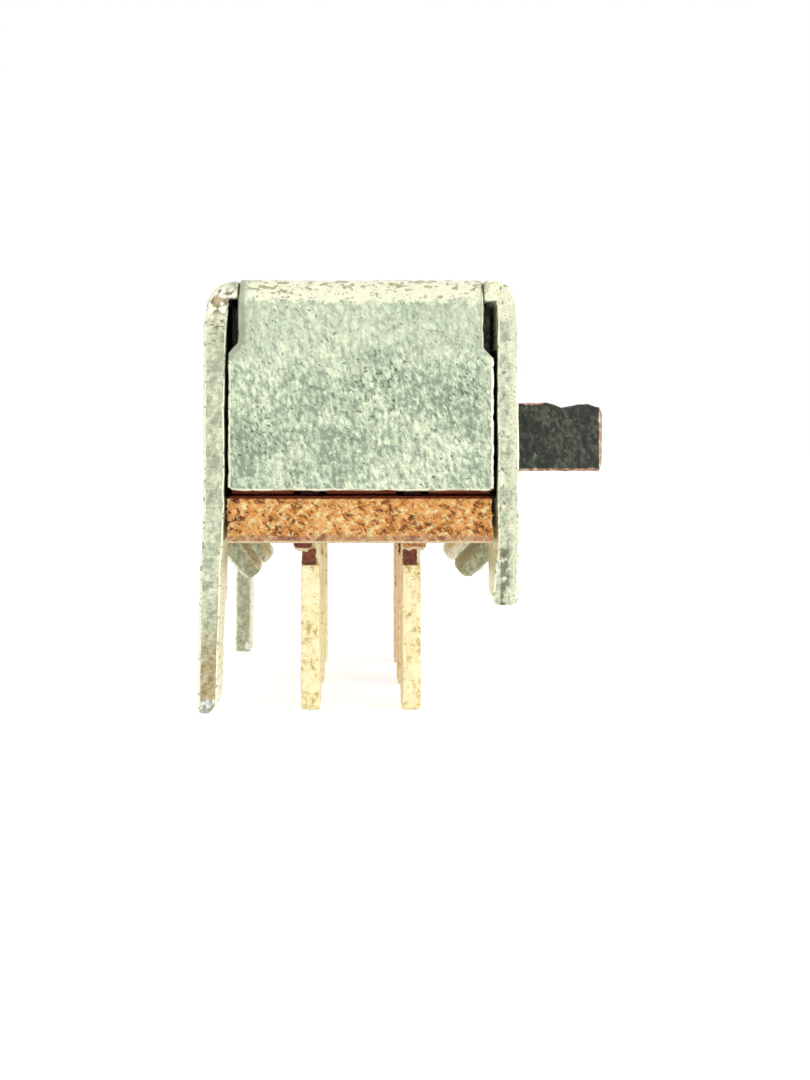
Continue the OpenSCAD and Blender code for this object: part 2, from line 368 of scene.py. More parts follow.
def tubes(lines: Array, r: Array, sides: int) -> Skin:
    """Round rods along lines of points, each closed by a cap at both ends.

    Point (i, j) of a rod is line[i] + r * (cos(a_j) * side_i + sin(a_j) * up_i), with side and up square to it.

    Args:
        lines: K by N by 3 points along the middles of the rods.
        r: the K radii.
        sides: the number of points round a rod.

    Returns:
        The closed skins as one.
    """
    way = unit(np.gradient(lines, axis=1))
    side = unit(np.cross(way, [0.03, 0.05, 1.0]))
    up = np.cross(side, way)
    turn = np.linspace(0, 2 * math.pi, sides, endpoint=False)[None, None, :, None]
    ring = np.cos(turn) * side[:, :, None] + np.sin(turn) * up[:, :, None]
    points = lines[:, :, None] + r[:, None, None, None] * ring
    number = np.arange(points[..., 0].size).reshape(points.shape[:3])
    caps = np.concatenate([number[:, 0], number[:, -1, ::-1]])
    return Skin(points.reshape(-1, 3), ring_quads(number).tolist() + caps.tolist())


# ---------------------------------------------------------------- meshes


def placed(name: str, data: bpy.types.ID) -> bpy.types.Object:
    """Puts a new object into the scene."""
    piece = bpy.data.objects.new(name, data)
    bpy.context.scene.collection.objects.link(piece)
    return piece


def placed_smooth(name: str, mesh: bpy.types.Mesh) -> bpy.types.Object:
    """Puts a mesh into the scene with smooth faces."""
    mesh.polygons.foreach_set("use_smooth", np.ones(len(mesh.polygons), bool))
    mesh.update()
    return placed(name, mesh)


def write_mesh(name: str, skin: Skin, values: dict[str, Array] | None = None) -> bpy.types.Object:
    """Puts a skin into a new object at the origin.

    Args:
        name: the piece's name.
        skin: the points and faces.
        values: numbers kept on the points, by name, for the finishes to read.

    Returns:
        The object, with smooth faces.
    """
    mesh = bpy.data.meshes.new(name)
    mesh.from_pydata((skin.points * MM).tolist(), [], skin.faces)
    for key, numbers in (values or {}).items():
        mesh.attributes.new(key, "FLOAT", "POINT").data.foreach_set("value", numbers.astype(np.float32))
    return placed_smooth(name, mesh)


def merged_copy(node: str, name: str, beyond_x: float | None = None) -> bpy.types.Object:
    """Copies a CAD node's mesh, with its loose triangles merged into whole flat faces.

    Args:
        node: the CAD node's name.
        name: the new piece's name.
        beyond_x: what lies further than this is left out, and the hole is closed.

    Returns:
        The new object.
    """
    work = bmesh.new()
    work.from_mesh(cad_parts[node].data)
    bmesh.ops.remove_doubles(work, verts=work.verts, dist=2e-7)
    bmesh.ops.dissolve_limit(
        work, angle_limit=math.radians(0.5), verts=work.verts, edges=work.edges, delimit={"NORMAL"}
    )
    if beyond_x is not None:
        bmesh.ops.delete(work, geom=[p for p in work.verts if p.co.x > beyond_x * MM], context="VERTS")
        bmesh.ops.holes_fill(work, edges=work.edges)
        bmesh.ops.recalc_face_normals(work, faces=work.faces)
    mesh = bpy.data.meshes.new(name)
    work.to_mesh(mesh)
    work.free()
    return placed_smooth(name, mesh)


def soften_edges(piece: bpy.types.Object, r: float, segments: int = 3) -> None:
    """Rounds a piece's sharp edges, and keeps its flat faces flat to the light.

    Args:
        piece: the object.
        r: the width of the rounding.
        segments: the number of steps across a rounding.
    """
    bevel = piece.modifiers.new("edges", "BEVEL")
    bevel.width = r * MM
    bevel.segments = segments
    bevel.limit_method = "ANGLE"
    bevel.angle_limit = BLUNT
    bevel.use_clamp_overlap = False
    bevel.miter_outer = "MITER_ARC"
    flatten_light(piece)


def flatten_light(piece: bpy.types.Object) -> None:
    """Lets large faces lead the shading, so that flat areas look flat up to their rims."""
    normals = piece.modifiers.new("flats", "WEIGHTED_NORMAL")
    normals.keep_sharp = True


def node_box(node: str) -> tuple[Array, Array]:
    """A CAD node's lowest and highest corners, in millimetres."""
    low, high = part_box(node)
    return np.array(low) / MM, np.array(high) / MM


def settle(piece: bpy.types.Object, finishes: Sequence[bpy.types.Material], body: Body, slot: Slot,
           *nodes: str) -> bpy.types.Object:
    """Finishes a piece, hangs it on the body that it rides on, and hides the CAD nodes that it replaces.

    Args:
        piece: the object.
        finishes: its materials.
        body: the body that it rides on.
        slot: its material slot; not used.
        nodes: the CAD nodes that it replaces.

    Returns:
        The same object.
    """
    for finish in finishes:
        piece.data.materials.append(finish)
    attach(piece, body.value)
    if nodes:
        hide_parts(*nodes)
    return piece


# ---------------------------------------------------------------- node trees


class Graph:
    """A node tree being wired, with a short call for each kind of step."""

    def __init__(self, tree: bpy.types.NodeTree) -> None:
        """Starts on an empty tree."""
        self.tree = tree

    @classmethod
    def cleared(cls, owner: bpy.types.ID) -> "Graph":
        """Starts on the emptied tree of a material or a world."""
        owner.use_nodes = True
        owner.node_tree.nodes.clear()
        return cls(owner.node_tree)

    def add(self, kind: str, inputs: dict | None = None, **settings: object) -> bpy.types.Node:
        """Adds a node.

        Args:
            kind: the node's type, without its ShaderNode prefix.
            inputs: values or sockets for its inputs, by name or number.
            settings: the node's own properties.

        Returns:
            The node.
        """
        node = self.tree.nodes.new("ShaderNode" + kind)
        for key, value in settings.items():
            setattr(node, key, value)
        for key, value in (inputs or {}).items():
            self.put(value, node.inputs[key])
        return node

    def put(self, value: object, socket: Socket) -> None:
        """Links a socket to an input, or sets the input's value."""
        if isinstance(value, Socket):
            self.tree.links.new(value, socket)
        elif value is not None:
            flat = isinstance(value, tuple) and len(value) == 3 and socket.type == "RGBA"
            socket.default_value = (*value, 1.0) if flat else value

    def math(self, operation: str, *values: object) -> Socket:
        """One arithmetic step on numbers."""
        return self.add("Math", dict(enumerate(values)), operation=operation).outputs[0]

    def product(self, first: object, *others: object) -> Socket:
        """Multiplies numbers, from the left."""
        for other in others:
            first = self.math("MULTIPLY", first, other)
        return first

    def vector(self, operation: str, *values: object) -> Socket:
        """One arithmetic step on vectors."""
        return self.add("VectorMath", dict(enumerate(values)), operation=operation).outputs[0]

    def total(self, *terms: tuple[float, object], start: float = 0.0) -> Socket:
        """Adds up values, each times its share."""
        out = start
        for share, value in terms:
            out = self.math("MULTIPLY_ADD", value, share, out)
        return out

    def remap(self, value: object, low: object, high: object, to: tuple = (0.0, 1.0)) -> Socket:
        """Maps low to high smoothly onto a new range, held at its ends."""
        inputs = {"Value": value, "From Min": low, "From Max": high, "To Min": to[0], "To Max": to[1]}
        return self.add("MapRange", inputs, interpolation_type="SMOOTHSTEP", clamp=True).outputs[0]

    def band(self, value: object, *edges: float) -> Socket:
        """1 between two soft edges, each given by where it starts and where it ends."""
        return self.product(self.remap(value, edges[0], edges[1]), self.remap(value, edges[3], edges[2]))

    def cut(self, value: object, level: object, soft: object) -> Socket:
        """1 above a level and 0 below it, with a soft step that reaches as far to both sides."""
        return self.remap(value, self.math("SUBTRACT", level, soft), self.math("ADD", level, soft))

    def mix(self, share: object, a: object, b: object) -> Socket:
        """Mixes two colours."""
        return self.add("Mix", {0: share, 6: a, 7: b}, data_type="RGBA").outputs[2]

    def over(self, under: object, over: object, mask: object, strength: float = 1.0) -> Socket:
        """Lays a colour over another, as far as a mask times a strength says."""
        return self.mix(mask if strength == 1.0 else self.product(mask, strength), under, over)

    def blend(self, share: object, a: object, b: object) -> Socket:
        """Mixes two numbers."""
        return self.add("Mix", {0: share, 2: a, 3: b}, data_type="FLOAT").outputs[0]

    def ramp(self, value: Socket, *stops: tuple[float, Colour]) -> Socket:
        """Reads a colour off a row of stops."""
        node = self.add("ValToRGB", {0: value})
        first, last = node.color_ramp.elements
        first.position, first.color = stops[0][0], (*stops[0][1], 1.0)
        last.position, last.color = stops[-1][0], (*stops[-1][1], 1.0)
        for place, colour in stops[1:-1]:
            node.color_ramp.elements.new(place).color = (*colour, 1.0)
        return node.outputs[0]

    def here(self) -> Socket:
        """The place on the piece, in millimetres."""
        place = self.add("TexCoord").outputs["Object"]
        return self.vector("MULTIPLY", place, (1 / MM, 1 / MM, 1 / MM))

    def turned(self, takes: bpy.types.NodeOutputs) -> Socket:
        """The place, turned and stretched by a group's own inputs."""
        inputs = {"Vector": self.here(), "Rotation": takes["Turn"]}
        turned = self.add("VectorRotate", inputs, rotation_type="EULER_XYZ").outputs[0]
        return self.vector("DIVIDE", turned, takes["Stretch"])

    def away(self, place: tuple[float, float, float]) -> Socket:
        """The distance from a place, seen along Y."""
        flat = self.vector("MULTIPLY", self.here(), (1.0, 0.0, 1.0))
        return self.add("VectorMath", {0: flat, 1: place}, operation="DISTANCE").outputs["Value"]

    def noise(self, place: Socket, size: Socket, detail: object, rough: float) -> Socket:
        """Noise about one half, with features of a size."""
        inputs = {"Vector": place, "Scale": self.math("DIVIDE", 1.0, size), "Detail": detail, "Roughness": rough}
        return self.add("TexNoise", inputs).outputs[0]

    def parts(self, value: Socket) -> list[Socket]:
        """A vector's three parts."""
        return list(self.add("SeparateXYZ", {0: value}).outputs)

    def kept(self, name: str) -> Socket:
        """A number kept on the piece's points."""
        return self.add("Attribute", attribute_name=name).outputs["Fac"]

    def effect(self, group: bpy.types.NodeTree, **inputs: object) -> bpy.types.Node:
        """Places a shared effect with its own values."""
        node = self.tree.nodes.new("ShaderNodeGroup")
        node.node_tree = group
        for key, value in inputs.items():
            self.put(value, node.inputs[key.capitalize()])
        return node

    def mask(self, group: bpy.types.NodeTree, **inputs: object) -> Socket:
        """A shared effect's mask."""
        return self.effect(group, **inputs).outputs["Mask"]

    def value(self, group: bpy.types.NodeTree, **inputs: object) -> Socket:
        """A shared effect's value, before any cut."""
        return self.effect(group, **inputs).outputs["Value"]

    def relief(self, group: bpy.types.NodeTree, **inputs: object) -> Socket:
        """A shared effect's height, in millimetres."""
        return self.effect(group, **inputs).outputs["Height"]


class Effects:
    """The node groups that several finishes share, each built once."""

    def __init__(self) -> None:
        """Builds every group."""
        self.flecks = self._flecks()
        self.mottle = self._mottle()
        self.ragged = self._ragged()
        self.grain = self._grain()

    @staticmethod
    def _group(name: str, takes: dict[str, object], *gives: str) -> tuple:
        """Makes a group with named sockets.

        Args:
            name: the group's name.
            takes: each input's name and first value, a number or three for a vector.
            gives: the names of its outputs, which are numbers.

        Returns:
            The graph, the group's inputs by name, and its outputs by name.
        """
        tree = bpy.data.node_groups.new(name, "ShaderNodeTree")
        for label, first in takes.items():
            kind = "NodeSocketVector" if isinstance(first, tuple) else "NodeSocketFloat"
            tree.interface.new_socket(label, in_out="INPUT", socket_type=kind).default_value = first
        for label in gives:
            tree.interface.new_socket(label, in_out="OUTPUT", socket_type="NodeSocketFloat")
        source, sink = tree.nodes.new("NodeGroupInput"), tree.nodes.new("NodeGroupOutput")
        return Graph(tree), source.outputs, sink.inputs

    def _flecks(self) -> bpy.types.NodeTree:
        """Soft-edged flecks: noise on turned and stretched places, cut at a level that leaves their share.

        Returns:
            The group, whose Mask is 1 inside a fleck and 0 between them.
        """
        takes = {"Size": 0.1, "Stretch": EVEN, "Turn": (0.0, 0.0, 0.0), "Level": 0.55, "Soft": 0.1, "Detail": 2.0,
                 "Shift": 0.0}
        g, takes, gives = self._group("flecks", takes, "Mask", "Value")
        place = g.vector("ADD", g.turned(takes), takes["Shift"])
        noise = g.noise(place, takes["Size"], takes["Detail"], 0.6)
        g.put(g.cut(noise, takes["Level"], takes["Soft"]), gives["Mask"])
        g.put(noise, gives["Value"])
        return g.tree

    def _mottle(self) -> bpy.types.NodeTree:
        """Broad soft variation: two noises of a size and a third of it, averaged about one half."""
        g, takes, gives = self._group("mottle", {"Size": 1.0, "Shift": 0.0}, "Value")
        place = g.vector("ADD", g.here(), takes["Shift"])
        scale = g.math("DIVIDE", 1.0, takes["Size"])
        broad = g.add("TexNoise", {"Vector": place, "Scale": scale, "Detail": 1.0}).outputs[0]
        close = g.add("TexNoise", {"Vector": place, "Scale": g.product(scale, 3.3)}).outputs[0]
        g.put(g.remap(g.total((0.6, broad), (0.4, close)), 0.3, 0.7), gives["Value"])
        return g.tree

    def _ragged(self) -> bpy.types.NodeTree:
        """An edge between two areas that wanders: a level that noise swings, cut at one half.

        Returns:
            The group, whose Mask is 1 where the swung level is above one half.
        """
        takes = {"Level": 0.5, "Size": 0.1, "Swing": 0.8, "Soft": 0.12, "Shift": 0.0}
        g, takes, gives = self._group("ragged", takes, "Mask")
        noise = g.noise(g.vector("ADD", g.here(), takes["Shift"]), takes["Size"], 4.0, 0.65)
        swung = g.math("MULTIPLY_ADD", g.math("SUBTRACT", noise, 0.5), takes["Swing"], takes["Level"])
        g.put(g.cut(swung, 0.5, takes["Soft"]), gives["Mask"])
        return g.tree

    def _grain(self) -> bpy.types.NodeTree:
        """Fine relief, as a height in millimetres."""
        takes = {"Size": 0.05, "Depth": 0.004, "Stretch": EVEN, "Turn": (0.0, 0.0, 0.0)}
        g, takes, gives = self._group("grain", takes, "Height")
        g.put(g.product(g.noise(g.turned(takes), takes["Size"], 3.0, 0.6), takes["Depth"]), gives["Height"])
        return g.tree


@dataclass
class Coat:
    """What a shader takes: a colour, a roughness, a height in millimetres, and numbers for other inputs."""

    colour: Socket
    rough: object
    height: Socket
    plain: dict[str, float]


@dataclass
class Finish:
    """A finish: a name, and nodes that lead to one shader."""

    effects: Effects
    name: str = "finish"

    def material(self) -> bpy.types.Material:
        """Makes the material.

        Returns:
            The material, with its shader wired to the coat that dress() gives.
        """
        made = bpy.data.materials.new(self.name)
        g = Graph.cleared(made)
        coat = self.dress(g, self.effects)
        bump = g.add("Bump", {"Height": coat.height, "Distance": MM, "Strength": 1.0}).outputs[0]
        inputs = {"Base Color": coat.colour, "Roughness": coat.rough, "Normal": bump, **coat.plain}
        shader = g.add("BsdfPrincipled", inputs)
        g.add("OutputMaterial", {"Surface": shader.outputs[0]}).is_active_output = True
        return made

    def dress(self, g: Graph, e: Effects) -> Coat:
        """Wires the finish's colours and relief."""
        raise NotImplementedError


@dataclass
class TinPlate(Finish):
    """Dull tin plate on sheet steel: pale grey-green, flecked and scratched, bright where it was bent or rubbed, and
    with painted highlights on the bends and other lit places.

    It reads two numbers from the piece's points: wear, which brightens the rubbed places and paints highlights, and
    a number for painted shade, which darkens the inside of the housing.
    """

    name: str = "tin_plate"
    light: Colour = shade(240, 249, 216)
    pale: Colour = shade(219, 231, 200)
    base: Colour = shade(201, 212, 184)
    grey: Colour = shade(179, 191, 165)
    deep: Colour = shade(146, 160, 138)
    pit: Colour = shade(84, 100, 82)
    bright: Colour = shade(255, 254, 224)
    olive: Colour = shade(158, 152, 112)
    moss: Colour = shade(128, 138, 112)
    # painted shade: the colour of the inside of the housing
    shade_brown: Colour = shade(58, 26, 16)
    # painted shade: grey for the slits' grooves, the near tabs and the lit rim
    shade_grey: Colour = shade(158, 164, 142)
    clouds: tuple[tuple[float, float, float], ...] = ((0.3, 0.0, 5.3), (-2.5, 0.0, 4.0), (2.5, 0.0, 4.9))

    def dress(self, g: Graph, e: Effects) -> Coat:
        """Wires the plate."""
        lean, tilt = (0.0, 0.15, 0.0), (0.0, 0.65, 0.0)
        broad = g.value(e.mottle, size=1.6)
        streaks = g.value(e.flecks, size=0.105, stretch=(1.0, 1.0, 2.6), turn=lean, detail=3.0)
        close = g.value(e.flecks, size=0.085, stretch=(1.0, 1.0, 1.5), turn=tilt, detail=3.0, shift=7.0)
        fine = g.value(e.flecks, size=0.045, stretch=(1.0, 1.0, 1.6), turn=lean, shift=13.0)
        cloud = 0.0
        for spot in self.clouds:
            cloud = g.math("MAXIMUM", g.remap(g.away(spot), 1.2, 0.1), cloud)
        level = g.total((0.12, broad), (0.56, streaks), (0.60, close), (0.26, fine), (-0.042, cloud), start=-0.267)
        z = g.parts(g.here())[2]
        lively = g.remap(z, 5.0, 6.8, (1.12, 0.70))
        level = g.math("MULTIPLY_ADD", g.math("ADD", level, -0.525), lively, 0.525)
        colour = g.ramp(level, (0.37, self.deep), (0.45, self.grey), (0.52, self.base), (0.59, self.pale),
                        (0.67, self.light))
        pits = g.mask(e.flecks, size=0.085, stretch=(1.0, 1.0, 1.7), turn=tilt,
                      level=g.math("MULTIPLY_ADD", cloud, -0.075, 0.67), soft=0.03, shift=31.0)
        lines = g.mask(e.flecks, size=0.035, stretch=(1.0, 1.0, 7.0), turn=tilt, level=0.67, soft=0.03, shift=5.0)
        marks = g.math("MAXIMUM", pits, g.product(lines, 0.6))
        colour = g.over(colour, self.pit, marks, 0.75)
        # Painted shade: greys the plate in the slits' grooves, on the near tabs' upper faces under the board and on
        # the right wall's lit outer rim.
        shade_greyed = g.mask(e.ragged, level=g.kept("shade_grey"), size=0.1, swing=0.5, soft=0.3)
        colour = g.over(colour, self.shade_grey, shade_greyed, 0.85)
        # Rubbed rims, and painted highlights on the bends, the legs' inner faces, the tabs' tips and inside the
        # right wall by the notches.
        worn = g.mask(e.ragged, level=g.kept("wear"), size=0.20, swing=2.0, soft=0.16)
        worn = g.product(worn, g.math("MULTIPLY_ADD", shade_greyed, -0.8, 1.0))
        rubbed = g.mix(g.remap(fine, 0.28, 0.46), self.pale, self.bright)
        colour = g.over(colour, rubbed, worn, 0.9)
        top = g.remap(z, 7.50, 7.66, (0.635, 0.555))
        scabs = g.mask(e.flecks, size=0.11, stretch=(1.8, 1.8, 1.0), level=top, soft=0.03, shift=53.0)
        stained = g.product(worn, 0.8, scabs)
        colour = g.over(colour, self.olive, stained)
        bare = g.mask(e.flecks, size=0.17, stretch=(1.4, 1.4, 0.8), level=0.645, soft=0.03, shift=77.0)
        bared = g.product(worn, 0.75, bare)
        colour = g.over(colour, self.moss, bared)
        # Painted shade: darkens the inside of the housing and the end flaps' inner faces.
        inner_shaded = g.mask(e.ragged, level=g.kept("inner_shade"), size=0.2, swing=0.4, soft=0.3)
        colour = g.over(colour, self.shade_brown, inner_shaded)
        rough = g.math("ADD", g.blend(worn, 0.46, 0.36), g.product(marks, 0.2))
        height = g.total((1.0, g.relief(e.grain, size=0.09, depth=0.014, stretch=(1.0, 1.0, 1.8), turn=lean)),
                         (-0.006, marks), (-0.004, stained))
        return Coat(colour, rough, height, {"Metallic": 0.55})


@dataclass
class ShearedEdge(Finish):
    """The cut edge of the sheet: torn and ridged, with a rubbed bright band along the right wall's outer half."""

    name: str = "sheared_edge"
    light: Colour = shade(244, 246, 216)
    pale: Colour = shade(226, 230, 200)
    grey: Colour = shade(204, 210, 180)
    torn: Colour = shade(170, 177, 150)
    dark: Colour = shade(92, 94, 70)
    rubbed: Colour = shade(252, 251, 220)
    tan: Colour = shade(190, 168, 124)
    rust: Colour = shade(138, 112, 74)
    olive: Colour = shade(142, 130, 92)
    cold: Colour = shade(186, 194, 188)
    white: Colour = shade(255, 255, 246)
    shade_grey: Colour = shade(150, 160, 136)
    # painted shade inside the housing; also the brown of the near left corner's spots
    shade_brown: Colour = shade(112, 96, 62)

    def dress(self, g: Graph, e: Effects) -> Coat:
        """Wires the edge."""
        x, y, z = g.parts(g.here())
        left, near = g.remap(x, 0.1, -0.1), g.remap(y, 0.1, -0.1)
        ridges = g.value(e.flecks, size=0.065, stretch=(2.2, 1.0, 1.0), detail=3.0, turn=(0.0, 0.12, 0.0))
        close = g.value(e.flecks, size=0.12, stretch=(1.0, 1.0, 1.5), detail=3.0, shift=21.0)
        broad = g.value(e.mottle, size=0.45, shift=3.0)
        level = g.total((0.42, ridges), (0.50, close), (0.16, broad), (-0.035, left), start=-0.045)
        colour = g.ramp(level, (0.36, self.torn), (0.47, self.grey), (0.55, self.pale), (0.64, self.light))
        tint = g.product(left, g.blend(near, 0.15, 0.9), g.remap(z, 0.2, -1.7))
        rusty = g.ramp(g.total((0.6, ridges), (0.4, close)), (0.36, self.rust), (0.50, self.tan), (0.66, self.grey))
        colour = g.over(colour, rusty, tint)
        tip = g.mask(e.ragged, level=g.remap(z, -2.05, -2.4), size=0.12, swing=0.9, soft=0.2)
        tip_side = g.remap(g.math("MULTIPLY_ADD", close, 0.4, x), -3.62, -3.72)
        # Painted glint: a small white spot on the far left prong's tip.
        painted_glint = g.product(g.remap(g.away((-3.50, 0.0, -2.42)), 0.15, 0.09), g.remap(y, 2.0, 2.5))
        # Painted highlights on the far tabs' tips.
        far_tip = g.product(g.remap(g.math("ABSOLUTE", x), 2.84, 2.70), g.remap(y, 0.3, 0.5))
        colour = g.over(colour, g.mix(left, self.white, self.rubbed), far_tip, 0.9)
        scuffed = g.ramp(close, (0.40, self.torn), (0.50, self.cold), (0.60, self.white))
        tipped = g.product(left, near, tip)
        colour = g.over(colour, g.mix(tip_side, scuffed, self.white), tipped)
        inner = g.band(x, -3.50, -3.38, -3.2, -3.0)
        greyed = g.product(inner, g.remap(z, 1.2, -0.2), g.product(near, 0.6))
        colour = g.over(colour, self.shade_grey, greyed)
        blob = g.mask(e.flecks, size=0.15, stretch=(1.0, 1.0, 1.5), level=0.50, soft=0.05, shift=71.0, detail=2.0)
        middle = g.band(x, 3.27, 3.34, 3.47, 3.56)
        pitted = g.product(blob, middle, g.remap(z, 1.9, 1.2, (0.2, 0.9)))
        band = g.mask(e.ragged, level=g.math("MULTIPLY_ADD", x, 2.2, -7.35), size=0.22, swing=0.8, soft=0.16)
        crown = g.mask(e.ragged, level=g.remap(z, 6.3, 7.4), size=0.25, swing=1.1, soft=0.15, shift=8.0)
        bright = g.math("MAXIMUM", band, crown)
        dots = g.mask(e.flecks, size=0.055, level=0.58, soft=0.06, shift=3.0)
        rubbed = g.mix(g.product(dots, 0.7), self.rubbed, self.torn)
        colour = g.over(colour, rubbed, bright, 0.9)
        # The near left corner: the white patches are painted highlights, and the brown and tan ones are spots on the
        # edge.
        corner = g.product(left, g.remap(z, 6.85, 7.05))
        blotch = g.mask(e.flecks, size=0.17, stretch=(1.1, 1.0, 1.0), level=0.49, soft=0.06, shift=44.0, detail=1.0)
        patched = g.mix(blotch, g.mix(g.remap(close, 0.42, 0.5), self.light, self.white),
                        g.mix(g.remap(close, 0.46, 0.6), self.shade_brown, self.tan))
        colour = g.over(colour, patched, corner, 0.85)
        spots = g.mask(e.flecks, size=0.13, stretch=(1.0, 1.0, 1.4), level=0.635, soft=0.03, shift=17.0)
        thick = g.blend(left, g.blend(band, g.remap(z, 1.6, 2.4, (0.2, 0.8)), 0.2), 0.25)
        spotted = g.math("MAXIMUM", g.product(spots, thick), pitted)
        colour = g.over(colour, self.dark, spotted, 0.85)
        cracks = g.mask(e.flecks, size=0.055, stretch=(3.5, 1.0, 1.0), level=0.60, soft=0.03, shift=61.0)
        high = g.product(g.remap(z, 5.9, 6.4), g.remap(x, -3.7, -3.45))
        cracked = g.product(cracks, high, g.product(left, 0.85))
        cracked = g.product(cracked, g.remap(z, 6.95, 6.8))
        colour = g.over(colour, self.rust, cracked)
        # Painted shade on the cut edges in the slits' grooves and under the near tabs.
        colour = g.over(colour, g.mix(g.remap(close, 0.4, 0.6), self.olive, self.torn), g.kept("shade_grey"), 0.75)
        # Painted shade on the cut edges inside the housing.
        inner_shaded = g.mask(e.ragged, level=g.kept("inner_shade"), size=0.2, swing=0.4, soft=0.3)
        colour = g.over(colour, self.shade_brown, inner_shaded)
        colour = g.over(colour, self.white, painted_glint)
        height = g.total((0.03, ridges), (-0.01, spotted), (-0.012, cracked),
                         (1.0, g.relief(e.grain, size=0.05, depth=0.012)))
        return Coat(colour, g.blend(bright, 0.55, 0.38), height, {"Metallic": 0.5})


@dataclass
class Laminate(Finish):
    """Paper laminate: orange-brown and fibrous where it was punched, with a pale skin along its lower face.

    It reads one number from the piece's points: raised, which is up on torn flakes and down in the pits.
    """

    name: str = "laminate"
    spark: Colour = shade(255, 232, 168)
    fibre: Colour = shade(248, 186, 110)
    amber: Colour = shade(236, 164, 86)
    brown: Colour = shade(210, 138, 68)
    pit: Colour = shade(150, 88, 38)
    crack: Colour = shade(104, 56, 24)
    mauve: Colour = shade(176, 134, 110)
    skin: Colour = shade(252, 226, 186)
    # painted shade under the flap, along the board's top rim
    shade_maroon: Colour = shade(104, 40, 22)
    # painted light: a brighter red for the board's top face in the dim gap
    gap_lit_red: Colour = shade(236, 122, 74)
    ember: Colour = shade(96, 26, 12)

    def dress(self, g: Graph, e: Effects) -> Coat:
        """Wires the laminate."""
        x, y, z = g.parts(g.here())
        one = g.value(e.flecks, size=0.13, stretch=(1.9, 1.8, 1.0), turn=(0.0, 0.45, 0.0), detail=3.0)
        two = g.value(e.flecks, size=0.17, stretch=(1.6, 1.8, 1.0), turn=(0.0, -0.8, 0.0), detail=3.0, shift=11.0)
        fine = g.value(e.flecks, size=0.04, stretch=(1.6, 1.6, 1.0), shift=29.0)
        broad = g.value(e.mottle, size=0.5, shift=4.0)
        middle = g.remap(g.math("ABSOLUTE", g.math("ADD", x, 0.2)), 1.6, 0.2)
        level = g.total((0.50, one), (0.50, two), (0.22, fine), (0.20, broad), (0.12, g.kept("raised")),
                        (0.04, middle), start=-0.20)
        colour = g.ramp(level, (0.37, self.pit), (0.44, self.brown), (0.52, self.amber), (0.60, self.fibre))
        flake = g.mask(e.flecks, size=0.10, stretch=(1.7, 1.7, 1.0), turn=(0.0, 0.6, 0.0), detail=2.0, soft=0.05,
                       level=g.math("MULTIPLY_ADD", level, -0.35, 0.775), shift=83.0)
        colour = g.over(colour, self.spark, flake, 0.95)
        split = g.mask(e.flecks, size=0.085, stretch=(2.2, 1.7, 1.0), turn=(0.0, -0.5, 0.0), detail=2.0, soft=0.04,
                       level=g.math("MULTIPLY_ADD", level, 0.35, 0.425), shift=91.0)
        colour = g.over(colour, self.crack, split, 0.75)
        outer = g.product(g.remap(x, -2.55, -3.1), g.remap(level, 0.50, 0.44))
        colour = g.over(colour, self.ember, outer, 0.9)
        low = g.mask(e.ragged, level=g.remap(z, 1.86, 1.50), size=0.3, swing=1.0, soft=0.2, shift=6.0)
        colour = g.over(colour, self.mauve, low, 0.55)
        under = g.mask(e.ragged, level=g.remap(z, 1.60, 1.50), size=0.12, swing=0.7, soft=0.12)
        colour = g.over(colour, self.skin, under, 0.9)
        # Painted shade along the board's top rim under the flap, and a brighter red on its top face that stands in
        # for the dim red light in the gap.
        above = g.mask(e.ragged, level=g.remap(z, 2.515, 2.60), size=0.10, swing=0.8, soft=0.15)
        behind = g.product(g.remap(z, 2.58, 2.592), g.remap(g.math("ABSOLUTE", y), 3.70, 3.62))
        colour = g.over(colour, g.mix(behind, self.shade_maroon, self.gap_lit_red), above)
        height = g.total((0.05, one), (0.03, fine))
        return Coat(colour, 0.6, height, {"Specular IOR Level": 0.35})


@dataclass
class Resin(Finish):
    """The laminate where it was swaged: dark red resin with a pale torn rim; the same dark red paints the shade in
    the terminals' waists.

    It reads two numbers from the piece's points: rim, which is up along the torn edge, and tone, which is up
    where the paper still covers the resin.
    """

    name: str = "swaged_resin"
    red: Colour = shade(144, 80, 52)
    dark: Colour = shade(98, 46, 28)
    tan: Colour = shade(226, 172, 112)
    brown: Colour = shade(160, 104, 60)
    rim: Colour = shade(255, 232, 196)

    def dress(self, g: Graph, e: Effects) -> Coat:
        """Wires the resin."""
        cloud = g.value(e.flecks, size=0.09, detail=3.0)
        colour = g.ramp(cloud, (0.40, self.dark), (0.58, self.red))
        colour = g.mix(g.kept("tone"), colour, g.ramp(cloud, (0.40, self.brown), (0.52, self.tan)))
        torn = g.mask(e.ragged, level=g.kept("rim"), size=0.07, swing=0.4, soft=0.2)
        colour = g.over(colour, self.rim, torn)
        height = g.relief(e.grain, size=0.05, depth=0.02)
        return Coat(colour, 0.5, height, {"Specular IOR Level": 0.4})


